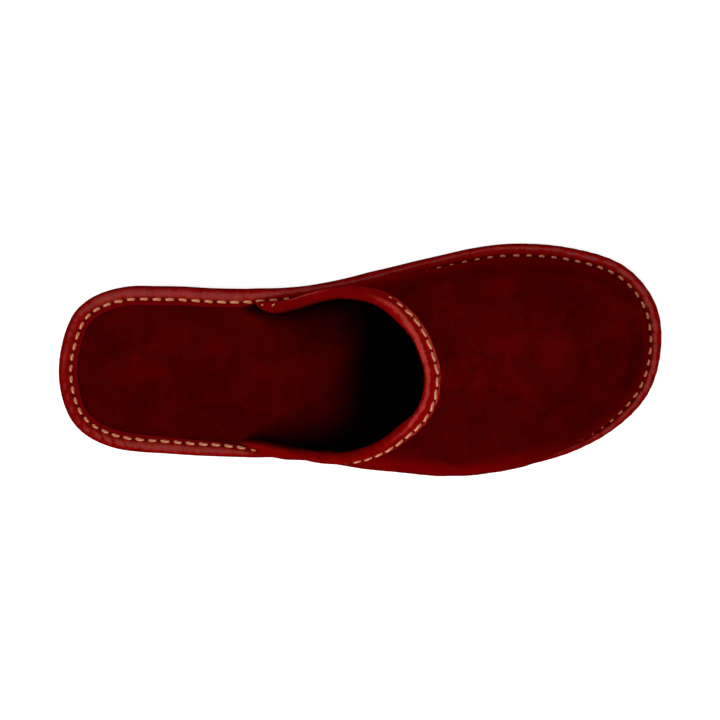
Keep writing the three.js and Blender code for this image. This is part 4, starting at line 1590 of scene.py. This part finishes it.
def cover_height(places):
    """Rise of the cover, and how much painted shade each place gets, from 0 to 1."""
    flat = places.reshape(-1, 3)
    station = nearest_stations(flat)
    from_edge = np.linalg.norm(flat[:, :2] - edge_xy[station], axis=1)
    from_wall = (from_edge - wall_inset[station] - FELT) / MM
    from_heel = mm_from_heel(flat[:, 0]) + unevenness(flat, SHADE_FRAYS) / MM
    grown = np.clip((from_heel - SHADE_STARTS) / SHADE_GROWS, SHADE_LEAST, 1)
    by_wall = look_up(from_wall / grown, LEFT_BY_WALL)
    by_front = look_up(from_heel - SHADE_SLANT * flat[:, 1] / MM, LEFT_BY_FRONT)
    lined = (1 - by_wall * by_front) * smooth(*SHADE_BEGINS, from_heel)
    rise = PLUMP * smooth(rim_inset[station] - PLUMP_FROM, rim_inset[station] + PLUMP_TO, from_edge)
    for x, y, length, width, depth in PRINTS.values():
        dx = (flat[:, 0] - HEEL_X - x * MM) / (length * MM)
        dy = (flat[:, 1] - y * MM) / (width * MM)
        rise -= depth * MM * np.exp(-(dx**2) - dy**2)
    rise += unevenness(flat, *COVER_LUMPS) * (from_edge > rim_inset[station])
    rise -= DROP_IN_SHADE * smooth(*DROP_SHADE_RANGE, lined)
    return rise.reshape(places.shape[:2]), lined.reshape(places.shape[:2])


cover_rise, cover_lined = cover_height(cover)
cover[..., 2] += cover_rise
cover[0] = cover[0].mean(axis=0)
cover[-1] = cover[-1].mean(axis=0)
print("cover rises by", np.round([cover_rise.min() / MM, cover_rise.max() / MM], 1), "mm")
felt_footbed = thick_sheet("felt_footbed", cover, closed=True, thickness=COVER_THICK, lined=cover_lined)
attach(felt_footbed, "root")
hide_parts("insole")

# %% [markdown]
# ## Camera, floor and light
# The camera hangs high above the middle line between the two shoes of a pair and is aimed at this
# one, so it sees it from slightly towards the big toe. The shoe fills most of the frame's width. One
# large soft light overhead and a white floor that glows a little leave hardly any shadow, and a
# weak low light keeps the outer side of the felt from going black.

# %% Camera
CAMERA_PLACE = Vector((1.3, 51.4, 1150)) * MM
AIM = Vector((0, 0, 25)) * MM
# share of the frame's width that the shoe's length takes up
FILL = 0.84
SENSOR = 36
NEAREST_SEEN = 0.05

camera_data = bpy.data.cameras.new("camera")
camera = bpy.data.objects.new("camera", camera_data)
bpy.context.collection.objects.link(camera)
back = (CAMERA_PLACE - AIM).normalized()
right = Vector((1, 0, 0))
right = (right - back * right.dot(back)).normalized()
up = back.cross(right)
camera.matrix_world = Matrix.Translation(CAMERA_PLACE) @ Matrix((right, up, back)).transposed().to_4x4()
camera_data.sensor_width = SENSOR
camera_data.lens = SENSOR * (CAMERA_PLACE - AIM).length * FILL / LENGTH
camera_data.clip_start = NEAREST_SEEN
bpy.context.scene.camera = camera
print("camera:", round((CAMERA_PLACE - AIM).length, 3), "m away, lens", round(camera_data.lens, 1), "mm")

# %% Floor and lights
FLOOR_SIZE = 8
# place, the place it is aimed at, and size, in metres, and power in watts
LIGHTS = {
    "softbox": ((-0.3, -0.1, 1.7), (0, 0, 0), 1.9, 32),
    "low_softbox": ((0.05, -1.0, 0.3), (0, 0, 0.02), 0.5, 5),
}
bpy.ops.object.select_all(action="DESELECT")
bpy.ops.mesh.primitive_plane_add(size=FLOOR_SIZE, location=(0, 0, 0))
floor = bpy.context.object
floor.name = "floor"


def area_light(name, place, aim, size, power):
    data = bpy.data.lights.new(name, "AREA")
    data.shape = "DISK"
    data.size = size
    data.energy = power
    light = bpy.data.objects.new(name, data)
    bpy.context.collection.objects.link(light)
    light.location = place
    light.rotation_euler = (Vector(aim) - Vector(place)).to_track_quat("-Z", "Y").to_euler()


for light_name, settings in LIGHTS.items():
    area_light(light_name, *settings)
print("lights:", list(LIGHTS))

# %% Sky
# brightness of the sky as a light and as a background
SKY_LIGHT = 0.33
SKY_SEEN = 1.0
world = bpy.data.worlds.new("sky")
bpy.context.scene.world = world
world.use_nodes = True
world.node_tree.nodes["Background"].inputs["Color"].default_value = (1, 1, 1, 1)
seen = world.node_tree.nodes.new("ShaderNodeLightPath").outputs["Is Camera Ray"]
strength = world.node_tree.nodes.new("ShaderNodeMath")
strength.operation = "MULTIPLY_ADD"
world.node_tree.links.new(seen, strength.inputs[0])
strength.inputs[1].default_value = SKY_SEEN - SKY_LIGHT
strength.inputs[2].default_value = SKY_LIGHT
world.node_tree.links.new(strength.outputs[0], world.node_tree.nodes["Background"].inputs["Strength"])
bpy.context.scene.view_settings.view_transform = "Standard"
print("sky:", SKY_LIGHT, "as a light,", SKY_SEEN, "as a background")


# %% [markdown]
# ## Finishes
# A finish is a small net of nodes that ends in one shader. Effects that several finishes share,
# such as cloudy patches, nap, leather grain and rubbed places, are each built once as a node
# group with named inputs, so one group can serve felt and leather with different values. Sizes
# go in as millimetres and become the scale of a noise.

# %% Node helpers
def add_node(tree, kind, inputs=None, **settings):
    """A node with its settings; an input is either a value or the socket that feeds it."""
    node = tree.nodes.new("ShaderNode" + kind)
    for name, value in settings.items():
        setattr(node, name, value)
    for name, value in (inputs or {}).items():
        if isinstance(value, bpy.types.NodeSocket):
            tree.links.new(value, node.inputs[name])
        else:
            node.inputs[name].default_value = value
    return node


def calculate(tree, operation, *values):
    return add_node(tree, "Math", dict(enumerate(values)), operation=operation).outputs[0]


def stretch(tree, value, low, high, start=0.0, stop=1.0):
    """Value between low and high becomes start to stop, with soft ends."""
    inputs = {"Value": value, "From Min": low, "From Max": high, "To Min": start, "To Max": stop}
    return add_node(tree, "MapRange", inputs, interpolation_type="SMOOTHSTEP").outputs["Result"]


def mix_colours(tree, factor, first, second):
    node = add_node(tree, "Mix", {"Factor": factor}, data_type="RGBA")
    for socket, colour in ((node.inputs[6], first), (node.inputs[7], second)):
        if isinstance(colour, bpy.types.NodeSocket):
            tree.links.new(colour, socket)
        else:
            socket.default_value = (*colour, 1)
    return node.outputs[2]


def tint(tree, colour, towards, mask, amount):
    """A colour drawn towards another by an amount, where a mask is 1."""
    return mix_colours(tree, calculate(tree, "MULTIPLY", mask, amount), colour, towards)


def speckle(tree, place, size_mm, **inputs):
    """Noise with hills about size_mm apart, which is a number or a socket."""
    scale = calculate(tree, "DIVIDE", 1000.0, size_mm)
    return add_node(tree, "TexNoise", {"Vector": place, "Scale": scale, **inputs}).outputs["Fac"]


def new_group(name, inputs, outputs):
    """A node group with a place input, number inputs with their usual values, and outputs."""
    group = bpy.data.node_groups.new(name, "ShaderNodeTree")
    group.interface.new_socket("Place", in_out="INPUT", socket_type="NodeSocketVector")
    for socket, value in inputs.items():
        made = group.interface.new_socket(socket, in_out="INPUT", socket_type="NodeSocketFloat")
        made.default_value = value
    for socket in outputs:
        group.interface.new_socket(socket, in_out="OUTPUT", socket_type="NodeSocketFloat")
    print("group", name, "takes", inputs, "and gives", outputs)
    return group, group.nodes.new("NodeGroupInput").outputs, group.nodes.new("NodeGroupOutput").inputs


def use_group(tree, name, place, **values):
    """Places a group in a finish; an input's spaces are written as underscores."""
    node = tree.nodes.new("ShaderNodeGroup")
    node.node_tree = bpy.data.node_groups[name]
    tree.links.new(place, node.inputs["Place"])
    for key, value in values.items():
        socket = node.inputs[key.replace("_", " ")]
        if isinstance(value, bpy.types.NodeSocket):
            tree.links.new(value, socket)
        else:
            socket.default_value = value
    return node.outputs


# %% [markdown]
# ### Cloudy patches
# No dyed thing is one even colour. A broad, soft noise gives patches that a finish can use to
# drift between two tones or between two degrees of gloss.

# %% Group: cloudy patches
group, given, result = new_group("cloudy patches", {"Patch size": 12.0}, ["Patches"])
cloud = speckle(group, given["Place"], given["Patch size"], Detail=3.0, Roughness=0.55)
group.links.new(stretch(group, cloud, 0.32, 0.68), result["Patches"])

# %% [markdown]
# ### Nap
# Felt and suede are a mat of short fibres that lie every way. Fine, twisted noise stands for the
# fibres and a coarser one for the tufts that they gather into. The same height paints shade into
# the colour, darker in the pits between tufts, and drives the bump.

# %% Group: nap
group, given, result = new_group(
    "nap", {"Fibre size": 0.7, "Tuft size": 2.8, "Brushed size": 18.0}, ["Height", "Shade"]
)
fibres = speckle(group, given["Place"], given["Fibre size"], Detail=4.0, Roughness=0.7, Distortion=1.4)
tufts = speckle(group, given["Place"], given["Tuft size"], Detail=3.0, Roughness=0.6, Distortion=0.6)
brushed = speckle(group, given["Place"], given["Brushed size"], Detail=5.0, Roughness=0.62, Distortion=0.5)
height = calculate(group, "MULTIPLY_ADD", fibres, 0.6, calculate(group, "MULTIPLY", tufts, 0.4))
tone = calculate(group, "MULTIPLY_ADD", brushed, 1.0, calculate(group, "MULTIPLY", height, 0.75))
group.links.new(height, result["Height"])
group.links.new(stretch(group, tone, 0.68, 1.07), result["Shade"])

# %% [markdown]
# ### Leather grain
# Smooth leather has tiny raised cells and, where it is bent round an edge, fine wrinkles across
# the bend. The cells are a smooth Voronoi pattern. The wrinkles are noise drawn out across the
# strip, of which only the narrow crests are kept.

# %% Group: leather grain
group, given, result = new_group(
    "leather grain", {"Cell size": 0.5, "Wrinkle size": 3.2, "Drawn out": 0.3}, ["Height", "Wrinkles"]
)
cell_scale = calculate(group, "DIVIDE", 1000.0, given["Cell size"])
cells = add_node(
    group,
    "TexVoronoi",
    {"Vector": given["Place"], "Scale": cell_scale, "Smoothness": 0.6},
    feature="SMOOTH_F1",
).outputs["Distance"]
drawn = add_node(group, "CombineXYZ", {"X": 1.0, "Y": given["Drawn out"], "Z": 1.0}).outputs[0]
across_strip = add_node(group, "VectorMath", {0: given["Place"], 1: drawn}, operation="MULTIPLY").outputs[0]
folds = speckle(group, across_strip, given["Wrinkle size"], Detail=4.0, Roughness=0.55, Distortion=0.5)
crest = calculate(group, "ABSOLUTE", calculate(group, "SUBTRACT", folds, 0.5))
wrinkles = stretch(group, crest, 0.0, 0.035, 1.0, 0.0)
lowered = calculate(group, "MULTIPLY_ADD", wrinkles, -0.5, 1.0)
group.links.new(calculate(group, "MULTIPLY_ADD", cells, -0.35, lowered), result["Height"])
group.links.new(wrinkles, result["Wrinkles"])

# %% [markdown]
# ### Rubbed places
# Wear starts where a thing stands proud. The group takes how exposed a place is, from 0 to 1,
# and breaks the border of the worn area up with noise, so that it never ends in a clean line.

# %% Group: rubbed
group, given, result = new_group("rubbed", {"Exposed": 0.5, "Patch size": 5.0}, ["Worn"])
patches = speckle(group, given["Place"], given["Patch size"], Detail=4.0, Roughness=0.65)
reach = calculate(group, "MULTIPLY_ADD", calculate(group, "SUBTRACT", patches, 0.5), 1.5, given["Exposed"])
group.links.new(stretch(group, reach, 0.35, 0.95), result["Worn"])


# %% [markdown]
# ### A finish and its inputs
# Every finish starts in the same way: a material with one shader, to which fixed numbers such as
# the strength of the gloss are given directly, and which gets its colour, roughness and bump from
# nodes. A mark stored on the mesh is read by its name.

# %% Start a finish
def new_finish(name, gloss, sheen=0.0, sheen_colour=(1, 1, 1)):
    material = bpy.data.materials.new(name)
    material.use_nodes = True
    shader = material.node_tree.nodes["Principled BSDF"]
    shader.inputs["Specular IOR Level"].default_value = gloss
    shader.inputs["Sheen Weight"].default_value = sheen
    shader.inputs["Sheen Roughness"].default_value = 0.3
    shader.inputs["Sheen Tint"].default_value = (*sheen_colour, 1)
    return material, material.node_tree, shader


def place_on_piece(tree):
    return add_node(tree, "TexCoord").outputs["Object"]


def read_mark(tree, name):
    return add_node(tree, "Attribute", attribute_name=name).outputs["Fac"]


def feed(tree, shader, colour, roughness, height, depth_mm):
    """Joins colour, roughness and a bump, whose full height is depth_mm, to the shader."""
    tree.links.new(colour, shader.inputs["Base Color"])
    tree.links.new(roughness, shader.inputs["Roughness"])
    bump = add_node(tree, "Bump", {"Height": height, "Distance": depth_mm * MM})
    tree.links.new(bump.outputs["Normal"], shader.inputs["Normal"])


def dress(piece, *materials):
    piece.data.materials.clear()
    for material in materials:
        piece.data.materials.append(material)
    print(piece.name, "wears", [material.name for material in materials])


# %% [markdown]
# ### Felt
# The upper and the footbed are a deep red felt with a raised nap. Felt throws back almost no
# gloss, only a soft glow where it turns away. Its colour drifts a little towards violet and
# towards rust. Shade is painted into it by marks on the mesh: near black on the upper's inner face
# and on the footbed's front half and along its walls, darker where the outer felt slopes away,
# and light is painted on its steep outer side.

# %% Felt finish
FELT_DEEP = (0.035, 0.0001, 0.0001)
FELT_BRIGHT = (0.089, 0.0002, 0.0001)
# darkest felt: the painted shade on slopes draws the felt towards it, and the footbed's felt is darkened
# towards it
FELT_SHADE = (0.018, 0.0001, 0.0001)
FELT_PAINTED_LIGHT = (0.16, 0.0003, 0.0002)
FELT_VIOLET = (0.046, 0.0001, 0.0016)
FELT_RUST = (0.066, 0.0009, 0.0001)
PAINTED_SHADE_DARK = (0.0005, 0.0001, 0.0001)
PAINTED_SHADE_PALE = (0.0016, 0.0002, 0.0003)
FELT_GLOW = (0.6, 0.0, 0.0)
# moves the rust patches away from the violet ones, in metres
RUST_SHIFT = (0.31, 0.17, 0.05)


def felt_finish(name, nap_depth, darkened_by):
    material, tree, shader = new_finish(name, gloss=0.0, sheen=0.25, sheen_colour=FELT_GLOW)
    place = place_on_piece(tree)
    nap = use_group(tree, "nap", place)
    violet = use_group(tree, "cloudy patches", place, Patch_size=3.1)["Patches"]
    rust_place = add_node(tree, "VectorMath", {0: place, 1: RUST_SHIFT}, operation="ADD").outputs[0]
    rust = use_group(tree, "cloudy patches", rust_place, Patch_size=2.3)["Patches"]
    colour = mix_colours(tree, nap["Shade"], FELT_DEEP, FELT_BRIGHT)
    colour = tint(tree, colour, FELT_VIOLET, violet, 0.35)
    colour = tint(tree, colour, FELT_RUST, rust, 0.3)
    # the whole felt drawn a fixed share towards the darkest felt; the footbed's felt a third of the way
    colour = mix_colours(tree, darkened_by, colour, FELT_SHADE)
    # painted shade where the felt slopes away, painted light on its steep outer side, and near-black painted
    # shade inside the shoe
    colour = mix_colours(tree, read_mark(tree, "painted_slope_shade"), colour, FELT_SHADE)
    colour = tint(tree, colour, FELT_PAINTED_LIGHT, read_mark(tree, "painted_side_light"), 0.3)
    colour = mix_colours(tree, read_mark(tree, "lined"), colour, PAINTED_SHADE_DARK)
    roughness = stretch(tree, nap["Shade"], 0.0, 1.0, 1.0, 0.86)
    feed(tree, shader, colour, roughness, nap["Height"], nap_depth)
    return material


# near-black felt for the upper's inner face: painted shade inside the shoe
def painted_shade_finish():
    material, tree, shader = new_finish("painted_shade_felt", gloss=0.0)
    place = place_on_piece(tree)
    nap = use_group(tree, "nap", place, Fibre_size=0.5)
    colour = mix_colours(tree, nap["Shade"], PAINTED_SHADE_DARK, PAINTED_SHADE_PALE)
    feed(tree, shader, colour, stretch(tree, nap["Shade"], 0.0, 1.0, 1.0, 0.9), nap["Height"], 0.3)
    return material


dress(felt, felt_finish("upper_felt", 0.5, 0.0), painted_shade_finish())
# inner faces whose corners all carry the painted shade mark wear the near-black painted shade finish
lined_marks = numbers_of(felt.data.attributes["lined"].data, "value")
face_corners = np.array([face.vertices for face in felt.data.polygons])
lined_faces = lined_marks[face_corners].min(axis=1) > 0.5
felt.data.polygons.foreach_set("material_index", lined_faces.astype(np.int32))
felt.data.update()
dress(felt_footbed, felt_finish("footbed_felt", 0.5, 0.33))


# %% [markdown]
# ### Binding leather
# Both strips are cut from one smooth red leather. Its colour changes across the strip, and this
# is painted light and shade: deep where it slopes to the seam, brighter on the band beside it, dark
# at the outermost edge and down the side, and on the tape dark on the rows inside the shoe. Where
# it is rubbed it is paler and a little polished; the paler colour is partly wear and partly a
# painted highlight. So the colour is a ramp over the mark "across", whose stops stand at named
# rows of the section. Painted shade darkens the pinches beside the needle holes, the folds and
# the crease by the felt, and the fine wrinkles come out darker.

# %% Leather finish
def ramp_over_rows(tree, factor, names, colours):
    """A colour ramp with one stop for each named row of a section."""
    ramp = add_node(tree, "ValToRGB", {"Fac": factor}).color_ramp
    stops = ramp.elements
    while len(stops) > 1:
        stops.remove(stops[-1])
    for number, (name, colour) in enumerate(colours.items()):
        position = names.index(name) / (len(names) - 1)
        stop = stops[0] if number == 0 else stops.new(position)
        stop.position = position
        stop.color = (*colour, 1)
    return tree.nodes[-1].outputs["Color"]


# darkest leather: painted shade in pinches, folds and creases, and the deeper colour where never handled
LEATHER_DARKEST = (0.030, 0.0006, 0.0003)


def leather_finish(name, row_names, row_colours, worn_and_highlight_colour, paling, deepening):
    """The strip's or the tape's leather; deepening is how much darker it is where never handled."""
    material, tree, shader = new_finish(name, gloss=0.0)
    place = add_node(tree, "TexCoord").outputs["UV"]
    across = read_mark(tree, "across")
    grain = use_group(tree, "leather grain", place)
    patches = use_group(tree, "cloudy patches", place, Patch_size=7.0)["Patches"]
    colour = ramp_over_rows(tree, across, row_names, row_colours)
    handled = read_mark(tree, "handled")
    worn = use_group(tree, "rubbed", place, Exposed=read_mark(tree, "exposed"), Patch_size=3.4)["Worn"]
    deep = stretch(tree, handled, 0.0, 1.0, deepening, 0.0)
    drift = calculate(tree, "MULTIPLY_ADD", patches, 0.2, deep)
    colour = mix_colours(tree, drift, colour, LEATHER_DARKEST)
    # paler where rubbed, partly wear and partly a painted highlight on the crests
    polished = calculate(tree, "MULTIPLY", worn, stretch(tree, handled, 0.0, 0.7))
    colour = tint(tree, colour, worn_and_highlight_colour, polished, paling)
    coat = stretch(tree, polished, 0.0, 1.0, 0.004, 0.12)
    tree.links.new(coat, shader.inputs["Coat Weight"])
    shader.inputs["Coat Roughness"].default_value = 0.42
    # painted shade in the pinches, folds and crease that the mark "pinch" holds, and darker fine wrinkles
    wrinkles = calculate(tree, "MULTIPLY", grain["Wrinkles"], 0.35)
    shade_and_wrinkles = calculate(tree, "MAXIMUM", wrinkles, read_mark(tree, "pinch"))
    colour = tint(tree, colour, LEATHER_DARKEST, shade_and_wrinkles, 0.55)
    rubbed_smooth = calculate(tree, "MULTIPLY_ADD", patches, 0.3, worn)
    roughness = stretch(tree, rubbed_smooth, 0.0, 1.3, 0.72, 0.42)
    feed(tree, shader, colour, roughness, grain["Height"], 0.16)
    return material


# colour by row across the strip: painted light on the band, painted shade on the rim, the slope, the outer
# edge, the side and the lip under it
STRIP_ROWS = names_of(TOP_SECTION + SIDE_SECTION)
STRIP_COLOURS = {
    "rim_foot": (0.055, 0.0002, 0.0030),
    "rim": (0.100, 0.0002, 0.0060),
    "rim_top": (0.112, 0.0003, 0.0020),
    "slope": (0.120, 0.0003, 0.0004),
    "seam": (0.115, 0.0004, 0.0003),
    "band_start": (0.175, 0.0016, 0.0005),
    "band_rise": (0.190, 0.0016, 0.0006),
    "band": (0.182, 0.0014, 0.0006),
    "roll": (0.165, 0.0008, 0.0005),
    "roll_low": (0.110, 0.0005, 0.0004),
    "edge": (0.065, 0.0003, 0.0003),
    "side_high": (0.085, 0.0005, 0.0004),
    "side_low": (0.085, 0.0008, 0.0006),
    "lip": (0.040, 0.0006, 0.0005),
}
STRIP_WORN_AND_HIGHLIGHT = (0.225, 0.023, 0.0165)
dress(sole_leather, leather_finish("sole_leather", STRIP_ROWS, STRIP_COLOURS, STRIP_WORN_AND_HIGHLIGHT, 0.5, 0.12))

# colour by row across the tape: painted light on the edge band and the top of the fold, darker at the seam,
# painted shade at the edge's foot and on the rows inside the shoe
TAPE_COLOURS = {
    "edge_foot": (0.070, 0.0002, 0.0002),
    "edge_top": (0.190, 0.0007, 0.0004),
    "edge_band": (0.225, 0.0010, 0.0005),
    "seam": (0.150, 0.0006, 0.0003),
    "back": (0.200, 0.0010, 0.0003),
    "groove": (0.190, 0.0005, 0.0002),
    "bead_start": (0.200, 0.0006, 0.0003),
    "fold_40": (0.205, 0.0008, 0.0005),
    "fold_96": (0.175, 0.0006, 0.0004),
    "fold_152": (0.090, 0.0006, 0.0005),
    "inner_top": (0.040, 0.0003, 0.0003),
    "inner_foot": (0.015, 0.0002, 0.0002),
}
TAPE_WORN_AND_HIGHLIGHT = (0.34, 0.027, 0.019)
dress(collar_tape, leather_finish("collar_leather", TAPE_ROWS, TAPE_COLOURS, TAPE_WORN_AND_HIGHLIGHT, 0.7, 0.3))


# %% [markdown]
# ### Thread
# The stitches are a waxed, tan linen thread of three plies. The sphere that each stitch was made
# from still has its map, so slanting waves on that map draw the plies round the thread, and the
# hollows between them are painted darker, as painted shade.

# %% Thread finish
THREAD_HOLLOW = (0.30, 0.090, 0.038)
THREAD_TAN = (0.60, 0.240, 0.120)
THREAD_ROSE = (0.32, 0.085, 0.050)


def thread_finish(name):
    material, tree, shader = new_finish(name, gloss=0.2)
    coordinates = add_node(tree, "TexCoord").outputs
    plies = add_node(
        tree,
        "TexWave",
        {"Vector": coordinates["UV"], "Scale": 1.4, "Distortion": 0.3, "Detail": 1.0},
        bands_direction="DIAGONAL",
    ).outputs["Fac"]
    patches = use_group(tree, "cloudy patches", coordinates["Object"], Patch_size=5.0)["Patches"]
    fuzz = speckle(tree, coordinates["Object"], 0.25, Detail=2.0)
    colour = mix_colours(tree, plies, THREAD_HOLLOW, THREAD_TAN)
    colour = tint(tree, colour, THREAD_ROSE, patches, 0.3)
    height = calculate(tree, "MULTIPLY_ADD", fuzz, 0.25, plies)
    feed(tree, shader, colour, stretch(tree, fuzz, 0.3, 0.7, 0.55, 0.8), height, 0.18)
    return material


thread = thread_finish("tan_thread")
dress(sole_stitches, thread)
dress(collar_stitches, thread)


# %% [markdown]
# ### Rubber and board
# The outsole is a dark foamed rubber with a fine moulded texture, greyer where it meets the
# ground. The board between the outsole and the footbed is pressed fibre, brown and flecked.

# %% Rubber and board finishes
RUBBER_DARK = (0.026, 0.010, 0.009)
RUBBER_BROWN = (0.036, 0.015, 0.012)
RUBBER_WORN = (0.075, 0.052, 0.044)
BOARD_DARK = (0.10, 0.050, 0.028)
BOARD_PALE = (0.27, 0.155, 0.09)
BOARD_BROWN = (0.14, 0.075, 0.045)


def rubber_finish():
    material, tree, shader = new_finish("outsole_rubber", gloss=0.25)
    place = place_on_piece(tree)
    foam = speckle(tree, place, 0.6, Detail=3.0, Roughness=0.6)
    patches = use_group(tree, "cloudy patches", place, Patch_size=18.0)["Patches"]
    height_over_floor = add_node(tree, "SeparateXYZ", {"Vector": place}).outputs["Z"]
    exposed = stretch(tree, height_over_floor, 0.0, 3 * MM, 0.75, 0.15)
    worn = use_group(tree, "rubbed", place, Exposed=exposed, Patch_size=6.0)["Worn"]
    colour = mix_colours(tree, patches, RUBBER_DARK, RUBBER_BROWN)
    colour = tint(tree, colour, RUBBER_WORN, worn, 0.5)
    feed(tree, shader, colour, stretch(tree, foam, 0.3, 0.7, 0.62, 0.85), foam, 0.12)
    return material


def board_finish():
    material, tree, shader = new_finish("fibre_board", gloss=0.2)
    place = place_on_piece(tree)
    flecks = speckle(tree, place, 0.8, Detail=4.0, Roughness=0.7, Distortion=1.0)
    patches = use_group(tree, "cloudy patches", place, Patch_size=14.0)["Patches"]
    colour = mix_colours(tree, stretch(tree, flecks, 0.3, 0.7), BOARD_DARK, BOARD_PALE)
    colour = tint(tree, colour, BOARD_BROWN, patches, 0.4)
    feed(tree, shader, colour, stretch(tree, flecks, 0.3, 0.7, 0.9, 0.75), flecks, 0.15)
    return material


dress(rubber_outsole, rubber_finish())
dress(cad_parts["midsole"], board_finish())

# %% [markdown]
# ### Floor
# The floor is plain, pale and matt.

# %% Floor finish
floor_finish, _, floor_shader = new_finish("pale_floor", gloss=0.0)
floor_shader.inputs["Base Color"].default_value = (0.93, 0.93, 0.93, 1)
floor_shader.inputs["Roughness"].default_value = 1.0
floor_shader.inputs["Emission Color"].default_value = (1, 1, 1, 1)
floor_shader.inputs["Emission Strength"].default_value = 0.45
dress(floor, floor_finish)
